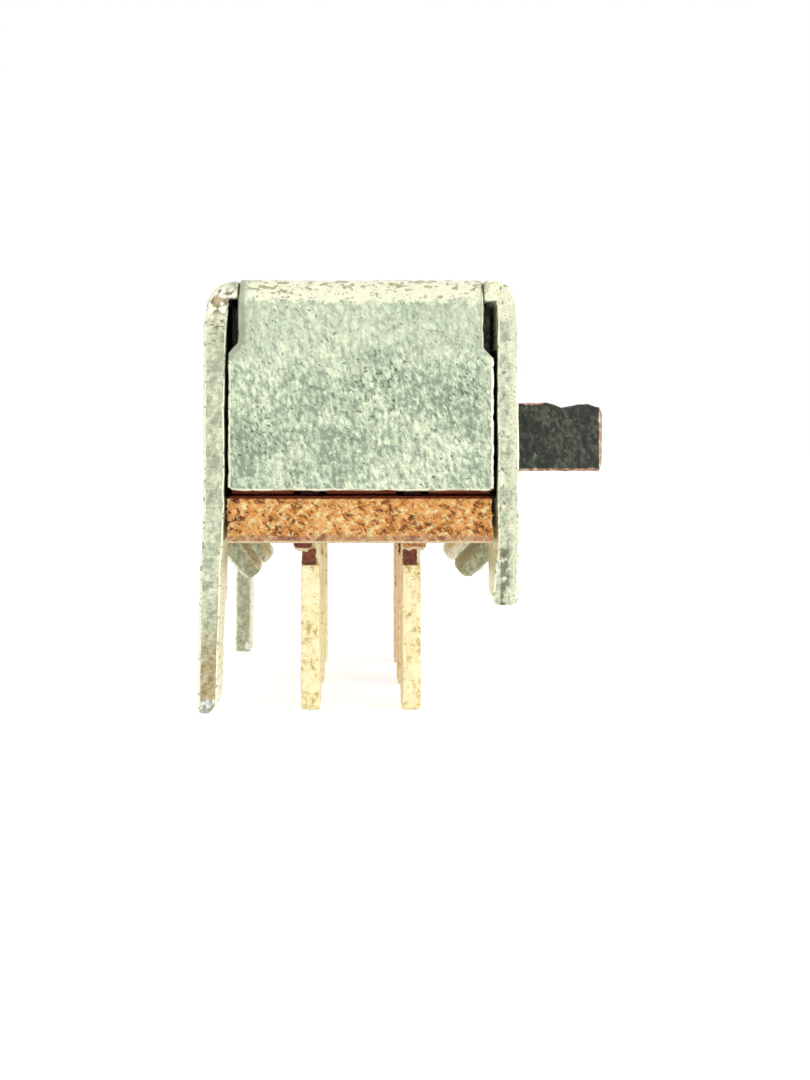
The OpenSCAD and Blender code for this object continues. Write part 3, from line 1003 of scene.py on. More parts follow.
@dataclass
class TinnedBrass(Finish):
    """Brass strip under a thin coat of tin: cream, with painted shade in tan on the faces that look left and on the
    right row's terminals behind the near one, and dark on the heads above the board.
    """

    name: str = "tinned_brass"
    cream: Colour = shade(252, 236, 178)
    pale: Colour = shade(255, 250, 206)
    tan: Colour = shade(238, 206, 156)
    rust: Colour = shade(216, 174, 122)
    stain: Colour = shade(188, 164, 104)
    # painted shade on the terminals' heads in the gap under the flap
    shade_maroon: Colour = shade(60, 16, 10)

    def dress(self, g: Graph, e: Effects) -> Coat:
        """Wires the strip."""
        aside = g.parts(g.add("TexCoord").outputs["Normal"])[0]
        x, y, z = g.parts(g.here())
        cloud = g.value(e.mottle, size=0.5, shift=9.0)
        close = g.value(e.flecks, size=0.10, stretch=(1.0, 1.0, 1.3), detail=3.0, shift=2.0)
        level = g.total((0.8, close), (0.2, cloud))
        colour = g.ramp(level, (0.29, self.stain), (0.44, self.cream), (0.62, self.pale))
        # Painted shade: tan on the faces that look away from the lamp, and on the right row's terminals behind the
        # near one.
        left = g.remap(g.product(aside, -1.0), 0.80, 0.97)
        behind = g.product(g.remap(x, 0.5, 0.9), g.remap(y, -2.0, -1.7))
        shaded = g.math("MAXIMUM", left, g.product(behind, 0.6))
        colour = g.over(colour, g.ramp(close, (0.36, self.rust), (0.56, self.tan)), shaded, 0.9)
        spots = g.mask(e.flecks, size=0.07, stretch=(1.5, 1.5, 1.0), level=0.665, soft=0.03, shift=41.0)
        colour = g.over(colour, self.stain, spots, 0.6)
        # Painted shade: dark red on the terminals' heads in the gap above the board.
        colour = g.over(colour, self.shade_maroon, g.band(z, 2.50, 2.56, 2.76, 2.90))
        height = g.total((1.0, g.relief(e.grain, size=0.08, depth=0.012)), (-0.004, spots))
        return Coat(colour, 0.42, height, {"Metallic": 0.45})


@dataclass
class Moulding(Finish):
    """Dark grey-green moulding, matte, with paler streaks and specks of filler.

    It reads one number from the piece's points: chipped, which is up along the knob's edges.
    """

    name: str = "moulding"
    black: Colour = shade(34, 38, 32)
    base: Colour = shade(52, 56, 46)
    soft: Colour = shade(88, 92, 78)
    # painted reflection of the board's red light
    board_bounce: Colour = shade(178, 92, 58)
    speck: Colour = shade(150, 156, 146)
    tan: Colour = shade(206, 164, 136)
    red: Colour = shade(168, 96, 84)
    cream: Colour = shade(244, 222, 186)

    def dress(self, g: Graph, e: Effects) -> Coat:
        """Wires the moulding."""
        close = g.value(e.flecks, size=0.10, stretch=(1.0, 1.0, 1.5), turn=(0.0, 0.35, 0.0), detail=4.0)
        broad = g.value(e.mottle, size=0.6, shift=2.0)
        level = g.total((0.85, close), (0.15, broad))
        colour = g.ramp(level, (0.38, self.black), (0.51, self.base), (0.64, self.soft))
        specks = g.mask(e.flecks, size=0.13, stretch=(1.0, 1.0, 1.3), level=0.70, soft=0.08, shift=5.0)
        colour = g.over(colour, self.speck, specks, 0.75)
        x, _, z = g.parts(g.here())
        # Painted reflected light: red-brown low on the slider's body, for the board's red light in the gap under the
        # flap.
        bounced = g.product(g.remap(z, 2.90, 2.80), g.remap(x, 3.2, 3.1))
        colour = g.over(colour, self.board_bounce, bounced)
        chips = g.mask(e.ragged, level=g.kept("chipped"), size=0.12, swing=1.0, soft=0.2)
        worn = g.ramp(close, (0.40, self.red), (0.54, self.tan), (0.64, self.cream))
        colour = g.over(colour, worn, chips, 0.85)
        height = g.total((0.035, close), (1.0, g.relief(e.grain, size=0.035, depth=0.012)))
        return Coat(colour, 0.62, height, {"Specular IOR Level": 0.35})


@dataclass
class Strip(Finish):
    """Spring strip or wire: one metal with fine lines drawn along it."""

    name: str = "spring_bronze"
    base: Colour = (0.70, 0.42, 0.20)
    dull: Colour = (0.42, 0.24, 0.12)
    shine: float = 0.30
    lines: tuple[float, float, float] = (1.0, 8.0, 1.0)

    def dress(self, g: Graph, e: Effects) -> Coat:
        """Wires the strip."""
        drawn = g.mask(e.flecks, size=0.03, stretch=self.lines, level=0.5, soft=0.2)
        cloud = g.value(e.mottle, size=0.6)
        colour = g.mix(g.product(g.math("ADD", drawn, cloud), 0.4), self.base, self.dull)
        height = g.relief(e.grain, size=0.03, depth=0.003, stretch=self.lines)
        return Coat(colour, g.blend(cloud, self.shine, self.shine + 0.12), height, {"Metallic": 1.0})


# ---------------------------------------------------------------- the switch's pieces


@dataclass(frozen=True)
class Fold:
    """A bend in a sheet: where the flat part before it ends, its radius at mid-sheet, and its middle's height."""

    flat: float
    mid_r: float
    middle_z: float

    @property
    def end(self) -> float:
        """The distance along the sheet at which the bend is done."""
        return self.flat + self.mid_r * math.pi / 2

    def at(self, along: Array, lift: Array) -> tuple[Array, Array]:
        """Folds a quarter turn downwards.

        Args:
            along: distances along the sheet from the roof's middle.
            lift: distances outwards from mid-sheet.

        Returns:
            The distances across from the middle, and the heights. Past the flat part a point turns by
            (along - flat) / mid_r about the bend's middle, up to a quarter turn, and then goes straight down.
        """
        over = along - self.flat
        turn = np.clip(over / self.mid_r, 0, math.pi / 2)
        down = np.clip(along - self.end, 0, None)
        across = np.minimum(along, self.flat) + (self.mid_r + lift) * np.sin(turn)
        return across, self.middle_z + (self.mid_r + lift) * np.cos(turn) - down

    def along(self, z: float) -> float:
        """The distance along the sheet at which its straight part is at a height."""
        return self.end + self.middle_z - z


@dataclass
class Sheet:
    """Places in a flat sheet, and which of them belong to its end strips.

    Along the sheet s runs towards a side wall and v towards an end; a and e are their lengths. Across it w
    runs outwards from mid-sheet.
    """

    places: Array
    strips: Array

    def __post_init__(self) -> None:
        """Splits the places into their parts."""
        self.s, self.v, self.w = self.places.T
        self.a, self.e = np.abs(self.s), np.abs(self.v)


@dataclass
class Cover:
    """The folded cover, worked out as one flat sheet with thickness and then folded.

    A place in the sheet is s, the distance from the roof's middle towards a side wall; v, the distance
    towards an end; and w, the height above mid-sheet, outwards. The part that folds over the side walls and
    the strips that fold down at the ends are two lattices, joined along the start of the end bends.
    """

    effects: Effects
    wall_x: float = 3.75
    end_y: float = 3.9
    roof_z: float = 7.8
    sheet_t: float = 0.5
    corner_r: float = 0.65
    flap_bend_r: float = 0.6
    neck_half: float = 2.93
    flap_half: float = 3.17
    flap_z: float = 2.74
    notch_z: float = 6.15
    left_notch_z: float = 6.28
    shoulder_h: float = 0.24
    board_z: float = 1.5
    board_top: float = 2.6
    shoulder_w: float = 1.25
    prong_w: float = 0.9
    prong_l: float = 2.6
    foot_w: float = 1.7
    tab_w: float = 1.2
    tab_y: float = 1.3
    tab_inner_r: float = 0.1
    near_bends: tuple[float, float] = (math.radians(38), math.radians(46.5))
    far_bends: tuple[float, float] = (math.radians(45), math.radians(56))
    tab_lengths: tuple[float, float] = (1.31, 1.37)
    slot_z: tuple[float, float] = (3.08, 5.02)
    slot_half: float = 2.35
    click_y: float = 1.25
    dimple_half: float = 0.6
    dimple_outside: tuple[float, float] = (1.05, 0.9)
    dimple_inside: tuple[float, float] = (0.6, 0.4)
    toe_swell: float = 0.17
    crest_h: float = 0.05
    sunk: float = 0.045
    near_lean: Table = ((-2.6, -1.0, 1.1, 2.4), (0.14, 0.12, 0.075, 0.0))
    far_lean: Table = ((-2.6, -0.3, 1.2, 2.6), (0.16, 0.15, 0.05, 0.0))
    prong_t: float = 0.46
    tip_t: tuple[float, float] = (0.24, 0.48)
    tip_h: float = 0.25
    foot_nip: float = 0.13
    tab_nip: float = 0.35
    flap_nip: float = 0.12
    rim_out: float = 0.075
    rim_in: float = 0.045
    tip_r: float = 0.2
    spacing: float = 0.12
    roof_spacing: float = 0.2
    dimple_spacing: float = 0.1
    layer: float = 0.1

    def __post_init__(self) -> None:
        """Works out the two folds and the distances along the sheet."""
        half_t = self.sheet_t / 2
        self.side = Fold(self.wall_x - self.corner_r, self.corner_r - half_t, self.roof_z - self.corner_r)
        self.end = Fold(self.end_y - self.flap_bend_r, self.flap_bend_r - half_t, self.roof_z - self.flap_bend_r)
        self.board_s = self.side.along(self.board_z)
        self.foot_s = self.side.along(0.0)
        self.prong_s = self.side.along(-self.prong_l)
        self.tab_mid_r = self.tab_inner_r + half_t
        self.tab_ends = [self.board_s + length for length in self.tab_lengths]
        self.flap_v = self.end.along(self.flap_z)

    def by_side(self, s: Array, pair: Sequence[float]) -> Array:
        """A tab's measure on the left or the right wall, by the sign of s."""
        return np.where(s < 0, pair[0], pair[1])

    def on_tab(self, at: Sheet) -> Array:
        """Which places belong to a tab."""
        return (np.abs(at.e - self.tab_y) < self.tab_w / 2 + SLACK) & (at.a > self.board_s)

    def by_foot(self, at: Sheet) -> Array:
        """Which places are as close to an end of the cover as the feet."""
        return at.e > self.end_y - self.foot_w - SLACK

    def build(self) -> bpy.types.Object:
        """Builds and dresses the cover.

        Returns:
            The piece.
        """
        places, pulls, strips, faces, axes = [], [], [], [], []
        count = 0
        for way, lattice in ((0, self.channel()), (-1, self.strip(-1)), (1, self.strip(1))):
            skin, quads, looks, index = lattice.skin()
            places.append(skin)
            pulls.append(self.rim_pulls(lattice, index, skin, way))
            strips.append(np.full(len(skin), abs(way)) * (np.abs(skin[:, 1]) > self.end.flat + TINY))
            faces.append(quads + count)
            axes.append(looks)
            count += len(skin)
        places, pulls, strips = np.vstack(places), np.vstack(pulls), np.concatenate(strips)
        faces, axes = np.vstack(faces), np.concatenate(axes)
        a, e = np.abs(places[:, 0]), np.abs(places[:, 1])
        joint = (np.abs(e - self.end.flat) < TINY) & (a < self.neck_half + TINY)
        kept = ~((axes == 1) & joint[faces].all(1))
        faces, axes = faces[kept], axes[kept]
        _, first, back = np.unique(
            np.round(np.column_stack([places, strips]), 5), axis=0, return_index=True, return_inverse=True
        )
        used, faces = np.unique(back.reshape(-1)[faces], return_inverse=True)
        faces, chosen = faces.reshape(-1, 4), first[used]
        at, pulls = Sheet(places[chosen], strips[chosen] > 0), pulls[chosen]
        points = self.folded(at, pulls)
        lift = at.w[faces].mean(1)
        inner, outer = self.rim_in - self.sheet_t / 2, self.sheet_t / 2 - self.rim_out
        cut = (axes != 2) & (lift > inner) & (lift < outer)
        # wear carries rubbing and painted highlights; the other two numbers carry painted shade.
        looks = {"wear": self.wear(at, pulls, points), "inner_shade": self.inner_shade(at, points), "shade_grey": self.shade_grey(at, points)}
        piece = write_mesh("cover_shell", Skin(points, faces.tolist()), looks)
        piece.data.polygons.foreach_set("material_index", cut.astype(np.int32))
        flatten_light(piece)
        finishes = [TinPlate(self.effects).material(), ShearedEdge(self.effects).material()]
        return settle(piece, finishes, Body.HOUSING, Slot.TIN, "cover")

    def layers(self) -> Array:
        """The lattice's planes through the sheet's thickness."""
        half = self.sheet_t / 2
        return steps([*rims([-half], self.rim_in, [1]), *rims([half], self.rim_out, [-1])], self.layer)

    def neck_planes(self) -> list[float]:
        """The planes across the roof and the end strips, from side to side."""
        half = self.neck_half
        fine = steps([-self.dimple_half, self.dimple_half], self.dimple_spacing)
        return [*fine, *steps([-half, half], self.roof_spacing), *rims([-half, half], self.rim_out)]

    def channel(self) -> Lattice:
        """The part of the sheet that folds over the side walls, with its legs, tabs and knob slot."""
        r, bend = self.rim_out, self.side
        cuts = [self.board_s, self.foot_s, bend.along(self.slot_z[1]), bend.along(self.slot_z[0])]
        half = [bend.flat, *np.linspace(bend.flat, bend.end, 9), *steps([bend.end, self.prong_s], self.spacing),
                *rims([*cuts[:3], self.prong_s], r, [-1]), *rims(cuts[3:], r, [1]),
                *rims([self.foot_s], self.tip_r * 0.75, [-1])]
        tips = [[*rims([end], r, [-1]), *rims([end], self.tip_r, [-1])] for end in self.tab_ends]
        ss = steps([*self.neck_planes(), *half, *tips[1], *(-s for s in half + tips[0])], 0.5)
        inwards = [self.end_y, self.tab_y + self.tab_w / 2]
        outwards = [self.end_y - self.shoulder_w, self.end_y - self.prong_w, self.end_y - self.foot_w,
                    self.tab_y - self.tab_w / 2, self.slot_half]
        walls = [*rims(inwards, r, [-1]), *rims(outwards, r, [1]), self.end.flat]
        fine = steps([-self.dimple_half, self.dimple_half], self.dimple_spacing)
        bumps = [way * self.click_y + step for way in (-1, 1) for step in fine]
        vs = steps([*walls, *(-wall for wall in walls), *bumps], self.roof_spacing)
        ms, mv = (ss[1:] + ss[:-1]) / 2, (vs[1:] + vs[:-1]) / 2
        s, a, e = ms[:, None], np.abs(ms)[:, None], np.abs(mv)[None]
        solid = (a < self.board_s) & (e < self.end_y) & ~((a < self.neck_half) & (e > self.end.flat))
        below = (a > self.board_s) & (e < self.end_y)
        legs = [(-1, self.foot_s, self.shoulder_w), (-1, self.prong_s, self.prong_w), (1, self.foot_s, self.foot_w)]
        for side, reach, wide in legs:
            solid |= below & (side * s > 0) & (a < reach) & (e > self.end_y - wide)
        solid |= below & (a < self.by_side(s, self.tab_ends)) & (np.abs(e - self.tab_y) < self.tab_w / 2)
        low, high = bend.along(self.slot_z[1]), bend.along(self.slot_z[0])
        solid &= ~((s > low) & (s < high) & (e < self.slot_half))
        return Lattice(ss, vs, self.layers(), np.repeat(solid[:, :, None], len(self.layers()) - 1, 2))

    def strip(self, way: int) -> Lattice:
        """The strip that folds down into an end flap, as wide as the neck all the way."""
        ss = steps([s for s in self.neck_planes() if abs(s) <= self.neck_half + TINY], 0.5)
        bend, r = self.end, self.rim_out
        down = steps([*np.linspace(bend.flat, bend.end, 9), *steps([bend.end, self.flap_v], self.spacing),
                      *rims([self.flap_v], r, [-1])], self.spacing)
        vs = np.sort(way * down)
        return Lattice(ss, vs, self.layers(), np.ones((len(ss) - 1, len(vs) - 1, len(self.layers()) - 1), bool))

    def rim_pulls(self, lattice: Lattice, index: Array, places: Array, way: int) -> Array:
        """How far each point must move to reach the middle of the rounding that it lies on.

        Args:
            lattice: one part of the sheet.
            index: the numbers of the planes that each point lies on.
            places: the points in the sheet.
            way: 0 for the channel, and the side of the strip otherwise.

        Returns:
            N by 3 pulls, along s, v and w.
        """
        flat = lattice.solid[:, :, 0]
        before = self.by_side(lattice.xs, self.tab_ends) - np.abs(lattice.xs)
        tips = np.interp(-before, [-0.7, -0.25], [0, 1])[:, None]
        tips = tips * (np.abs(np.abs(lattice.ys) - self.tab_y) < self.tab_w / 2 + SLACK) * (way == 0)
        sole = np.interp(lattice.xs - self.foot_s, [-0.3, -0.15], [0, 1])[:, None] * (way == 0)
        tips = np.maximum(tips, sole * (np.abs(lattice.ys) > self.end_y - self.foot_w - SLACK) * 0.7)
        half = self.sheet_t / 2
        outer = places[:, 2] > 0
        pulls = np.zeros(places.shape)
        for side, rim in ((outer, self.rim_out), (~outer, self.rim_in)):
            r = rim + (self.tip_r - rim) * tips
            for axis, planes in enumerate((lattice.xs, lattice.ys)):
                pulls[side, axis] = rim_pull(planes, flat, r, axis)[index[side, 0], index[side, 1]]
            here = r[index[side, 0], index[side, 1]]
            pulls[side, 2] = -np.sign(places[side, 2]) * np.clip(here - half + np.abs(places[side, 2]), 0, None)
        a, e = np.abs(places[:, 0]), np.abs(places[:, 1])
        pulls[(a < self.neck_half + TINY) & (e < self.end.flat + TINY), :2] = 0
        pulls[(way != 0) & (e < self.end.flat + 0.2), 1] = 0
        return pulls

    def folded(self, at: Sheet, pulls: Array) -> Array:
        """Softens, roughens and folds the sheet.

        Args:
            at: places in the flat sheet.
            pulls: their pulls towards the middles of the rims' roundings.

        Returns:
            N by 3 points.
        """
        moved = at.places + rounded_by(pulls) + self.nipped(at) + self.torn(at)
        s, v, w = moved.T
        side, end = np.where(s < 0, -1, 1), np.where(v < 0, -1, 1)
        across, z = self.side.at(np.abs(s), w)
        channel = np.stack([side * across, v, z], 1)
        out, down = self.end.at(np.abs(v), w)
        strip = np.stack([s * self.widening(s, v), end * out, down], 1)
        tab = self.on_tab(at)
        channel = np.where(tab[:, None], self.tab_points(s, v, w, side), channel)
        channel = np.where((~tab & (side < 0))[:, None], self.leaning(channel, w), channel)
        channel[:, 0] -= self.toe(at, channel)
        channel[:, 2] += self.click_bumps(at)
        return np.where(at.strips[:, None], strip, channel)

    def widening(self, s: Array, v: Array) -> Array:
        """How many times wider than its neck an end strip is, by the distance along it."""
        floor = np.where((s < 0) & (v < 0), self.left_notch_z, self.notch_z)
        below = (floor - (self.end.middle_z - (np.abs(v) - self.end.end))) / self.shoulder_h
        return 1 + (self.flap_half / self.neck_half - 1) * np.clip(below, 0, 1)

    def tab_points(self, s: Array, v: Array, w: Array, side: Array) -> Array:
        """Bends a tab inwards about an axis beside the wall's lower edge, and then runs it straight.

        Args:
            s: distances from the roof's middle.
            v: distances towards the far end.
            w: heights above mid-sheet.
            side: -1 for the left wall and 1 for the right.

        Returns:
            N by 3 points.
        """
        past = np.abs(s) - self.board_s
        bend = np.where(v < 0, self.by_side(s, self.near_bends), self.by_side(s, self.far_bends))
        turn = np.clip(past / self.tab_mid_r, 0, bend)
        run = np.clip(past - self.tab_mid_r * bend, 0, None)
        pivot = self.wall_x - self.sheet_t - self.tab_inner_r
        reach = self.tab_mid_r + w
        x = pivot + reach * np.cos(turn) - run * np.sin(turn)
        return np.stack([side * x, v, self.board_z - reach * np.sin(turn) - run * np.cos(turn)], 1)

    def toe(self, at: Sheet, points: Array) -> Array:
        """How far the near foot's inner face swells inwards at its lower end, where the shear squeezed it.

        Args:
            at: places in the flat sheet.
            points: the same places once folded.

        Returns:
            N lengths, which fade up the foot, along it and towards its outer face.
        """
        inner = 0.5 - at.w / self.sheet_t
        low = fading(points[:, 2], 1.25) ** 0.75 * (at.s > self.board_s)
        near = fading(points[:, 1] + self.end_y, 0.7)
        foot = np.abs(at.e - self.end_y + self.foot_w / 2) < self.foot_w / 2 + SLACK
        return self.toe_swell * inner * low * near * foot * (at.v < 0) * ~self.on_tab(at)

    def corner_swell(self, at: Sheet) -> Array:
        """How the bends differ from even ones.

        The near left corner is flatter outside, and uneven inside by the notch. The end bends carry a low
        crest, and the corners beside them are sunk.

        Args:
            at: places in the flat sheet.

        Returns:
            N lengths outwards, read off tables over a and e.
        """
        near = np.clip((-at.v - 3.3) / 0.3, 0, 1) * (at.s < 0) * ~at.strips
        outer = at.w / self.sheet_t + 0.5
        cut = -0.10 * np.interp(at.a, [2.9, 3.25, 3.42, 3.7, 4.2], [0, 0.8, 1, 0.6, 0])
        inside = np.interp(at.a, [2.9, 3.2, 3.45, 4.0, 5.2], [0.06, 0.06, -0.07, -0.05, 0])
        crest = self.crest_h * np.interp(at.e, [3.0, 3.4, 3.6, 4.0], [0, 1, 1, 0]) * (at.a < self.neck_half - TINY)
        aside = np.interp(at.a, [2.85, 2.96, 3.6, 4.2], [0, 1, 0.6, 0])
        sunk = -self.sunk * np.interp(at.e, [3.3, 3.6], [0, 1]) * aside
        return near * (outer * cut + (1 - outer) * inside) + crest + sunk * ~at.strips

    def leaning(self, points: Array, w: Array) -> Array:
        """Sets the left wall's prongs outwards, thins them from inside, and points the near one's tip.

        Args:
            points: the wall's folded points.
            w: their heights above mid-sheet.

        Returns:
            N by 3 points.
        """
        x, y, z = points.T
        near = y < 0
        low, tip = -self.prong_l, self.tip_h - self.prong_l
        lean = np.where(near, np.interp(z, *self.near_lean), np.interp(z, *self.far_lean))
        lean *= np.clip((np.abs(y) - 2.0) / 0.6, 0, 1)
        tip_t = np.where(near, *self.tip_t)
        tapered = tip_t + (self.prong_t - tip_t) * (z - low) / self.tip_h
        thick = np.where(z < tip, tapered, np.interp(z, [low, 0], [self.prong_t, self.sheet_t]))
        thin = (self.sheet_t / 2 - w) * (1 - thick / self.sheet_t) * (z < 0)
        middle = np.sign(y) * (self.end_y - self.prong_w / 2)
        point = np.interp(z, [low, tip], [0.5, 1.0]) * near + ~near
        return np.stack([x - lean - thin, middle + (y - middle) * np.where(z < 0, point, 1), z], 1)

    def click_bumps(self, at: Sheet) -> Array:
        """How far the roof rises over the two dimples, inside and outside.

        Each face follows a ball of radius R whose middle lies d below it, by sqrt(R^2 - distance^2) - d.

        Args:
            at: places in the flat sheet.

        Returns:
            N heights.
        """
        away = np.hypot(at.s, at.e - self.click_y)
        outside, inside = (
            np.sqrt(np.clip(r**2 - away**2, d**2, None)) - d for r, d in (self.dimple_outside, self.dimple_inside)
        )
        share = at.w / self.sheet_t + 0.5
        return share * outside + (1 - share) * inside

    def nipped(self, at: Sheet) -> Array:
        """Rounds the outer corners of the feet, the tabs and the flaps, seen square to the sheet.

        Args:
            at: places in the flat sheet.

        Returns:
            N by 3 moves.
        """
        moves = np.zeros(at.places.shape)
        foot = (at.s > 0) & (at.a > self.board_s) & self.by_foot(at)
        rows = [
            (~at.strips & foot, self.foot_s - at.a, self.end_y - self.foot_w / 2, self.foot_w / 2, self.foot_nip),
            (~at.strips & self.on_tab(at), self.by_side(at.s, self.tab_ends) - at.a, self.tab_y, self.tab_w / 2,
             self.tab_nip),
        ]
        for where, depth, middle, half, r in rows:
            beside = half - np.abs(at.e - middle)
            pull = np.stack([-np.sign(at.s) * np.clip(r - depth, 0, None),
                             np.sign(at.v) * np.sign(middle - at.e) * np.clip(r - beside, 0, None)], 1)
            moves[where, :2] += rounded_by(pull)[where]
        pull = np.stack([-np.sign(at.s) * np.clip(self.flap_nip - self.neck_half + at.a, 0, None),
                         -np.sign(at.v) * np.clip(self.flap_nip - self.flap_v + at.e, 0, None)], 1)
        moves[at.strips, :2] += rounded_by(pull)[at.strips]
        return moves

    def torn(self, at: Sheet) -> Array:
        """Waves the sheet slightly, and roughens the edges that the press cut.

        Args:
            at: places in the flat sheet.

        Returns:
            N by 3 moves: ripples outwards everywhere, and inwards beside the cut edges.
        """
        level = at.places * [1.0, 1.0, 0.0]
        waves = 0.006 * Ripple(1.8, 5).at(level) + 0.003 * Ripple(0.5, 6).at(level)
        waves += self.corner_swell(at)
        close = fading(np.where(at.strips, self.flap_v, self.end_y) - at.e, 0.1)
        rough = 1 + 0.6 * Ripple(0.25, 8).at(at.places) + 0.5 * Ripple(0.6, 9).at(at.places)
        inwards = -np.sign(at.v) * close * np.clip(0.014 * rough, 0, 0.05)
        sides = np.where(at.strips, fading(self.neck_half - at.a, 0.08), 0) * (at.e > self.end.flat + 0.1)
        ragged = -np.sign(at.s) * sides * np.clip(0.008 * (1 + Ripple(0.3, 12).at(at.places)), 0, 0.03)
        return np.stack([ragged, inwards, waves], 1)

    def wear(self, at: Sheet, pulls: Array, points: Array) -> Array:
        """How bright the plate is: rubbed on the rims; rubbed, with a painted highlight, on the bends; and painted
        light on the legs' inner faces, the tabs' tips and the right wall's inner face beside the notches.

        Args:
            at: places in the flat sheet.
            pulls: their pulls towards the middles of the rims' roundings.
            points: the same places once folded.

        Returns:
            N numbers from 0 to 1, the largest of what each cause gives.
        """
        z, outside, sheet = points[:, 2], at.w > 0, ~at.strips
        end, side = self.end, self.side
        # The bends: partly rubbing, partly a painted highlight where they catch the light from above.
        ends = np.interp(at.e, [end.flat - 0.5, end.flat, end.end - 0.15, end.end + 0.08], [0.1, 1, 1, 0])
        sides = np.interp(at.a, [side.flat - 0.2, side.flat + 0.1, side.end, side.end + 0.3], [0, 0.7, 0.7, 0])
        worn = np.maximum(np.where(at.strips | (at.a < side.flat), ends, 0), sheet * sides) * outside
        cut = np.abs(pulls[:, :2]).max(1)
        rim = np.clip(2.2 * np.minimum(cut, np.abs(pulls[:, 2])) / self.rim_in, 0, 1)
        rim *= np.where((at.w < 0) & (at.s < 0), np.interp(z, [4.4, 5.6], [1, 0.2]), 1)
        rim *= np.where(outside & (at.s > 0) & sheet, np.interp(z, [7.0, 7.4], [0.5, 1]), 1)
        rim = np.where(outside & sheet & (z > 6.9) & (at.e > self.end_y - 0.12), 1, rim)
        # Painted light on the feet's and legs' inner faces, which the lamp lights.
        inner_leg = sheet & (at.w < 0) & (z < 1.8) & self.by_foot(at)
        # Painted highlights on the tabs' tips.
        tip = sheet * np.interp(at.a - self.by_side(at.s, self.tab_ends), [-0.45, -0.1], [0, 0.9]) * (at.e < 2)
        # Painted light on the right wall's inner face, seen through the notches.
        inside = sheet & (at.s > 0) & (at.w < -0.15) & (at.e > 1.5) & (z > self.notch_z)
        return np.maximum.reduce([worn, rim * 0.95, np.where(inner_leg, 1.0, 0), tip, inside * 1.0])

    def shade_grey(self, at: Sheet, points: Array) -> Array:
        """Where grey shade is painted on the plate: along the end strips' sides beside the notches and at the slits'
        roots, on the near tabs' upper faces in the board's shadow, and on the right wall's outer rim at the ends, to
        dim the lamp's light there.

        Args:
            at: places in the flat sheet.
            points: the same places once folded.

        Returns:
            N numbers from 0 to 1.
        """
        z, left = points[:, 2], at.s < 0
        beside = np.abs(self.neck_half - at.a)
        notch = np.interp(z, [self.notch_z - 0.4, self.notch_z - 0.2, self.roof_z - 0.75], [0, 1, 1])
        rim = np.clip(1.3 - beside / np.where(left, 0.25, 0.10), 0, 1) * notch
        root = np.where(left, np.clip(1.4 - beside / 0.2, 0, 1), np.clip(1.2 - beside / 0.1, 0, 0.7))
        root = np.where(z > self.roof_z - 0.55, root, 0)
        dull = np.where((at.w > 0) & (at.e > self.end.flat - 0.1), np.maximum(rim * at.strips, root), 0)
        under = (self.on_tab(at) & ~at.strips & (at.v < 0)) * np.where(left, 0.25, 0.85)
        lit = ~at.strips & (at.s > self.side.end) & (at.w > 0.05) & (at.e > self.end_y - 0.1)
        return np.maximum.reduce([dull, under, lit * 0.25])

    def inner_shade(self, at: Sheet, points: Array) -> Array:
        """Where shade is painted on the plate: inside the housing, but for its ends and the notches' sides, and on
        the end flaps' inner faces.

        Args:
            at: places in the flat sheet.
            points: the same places once folded.

        Returns:
            N numbers, 0 or 1.
        """
        within = (at.w < -0.15) & (points[:, 2] > self.board_top)
        ends = ~at.strips & (at.e > self.end_y - 0.12)
        notch = (at.s > 2.0) & (at.e > 1.5) & (points[:, 2] > self.notch_z)
        return np.where((within & ~ends & ~notch) | (at.strips & (at.w < -0.1)), 1.0, 0.0)


TERMINALS = [f"terminal_{side}_{place}" for side in ("left", "right") for place in ("near", "mid", "far")]


def strip_slot(node: str, thick: float, wide: float) -> tuple[Array, Array]:
    """The flat box that a terminal's strip takes up: its lowest and highest corners across X and Y."""
    low, high = node_box(node)
    middle, half = ((low + high) / 2)[:2], np.array([thick, wide]) / 2
    return middle - half, middle + half


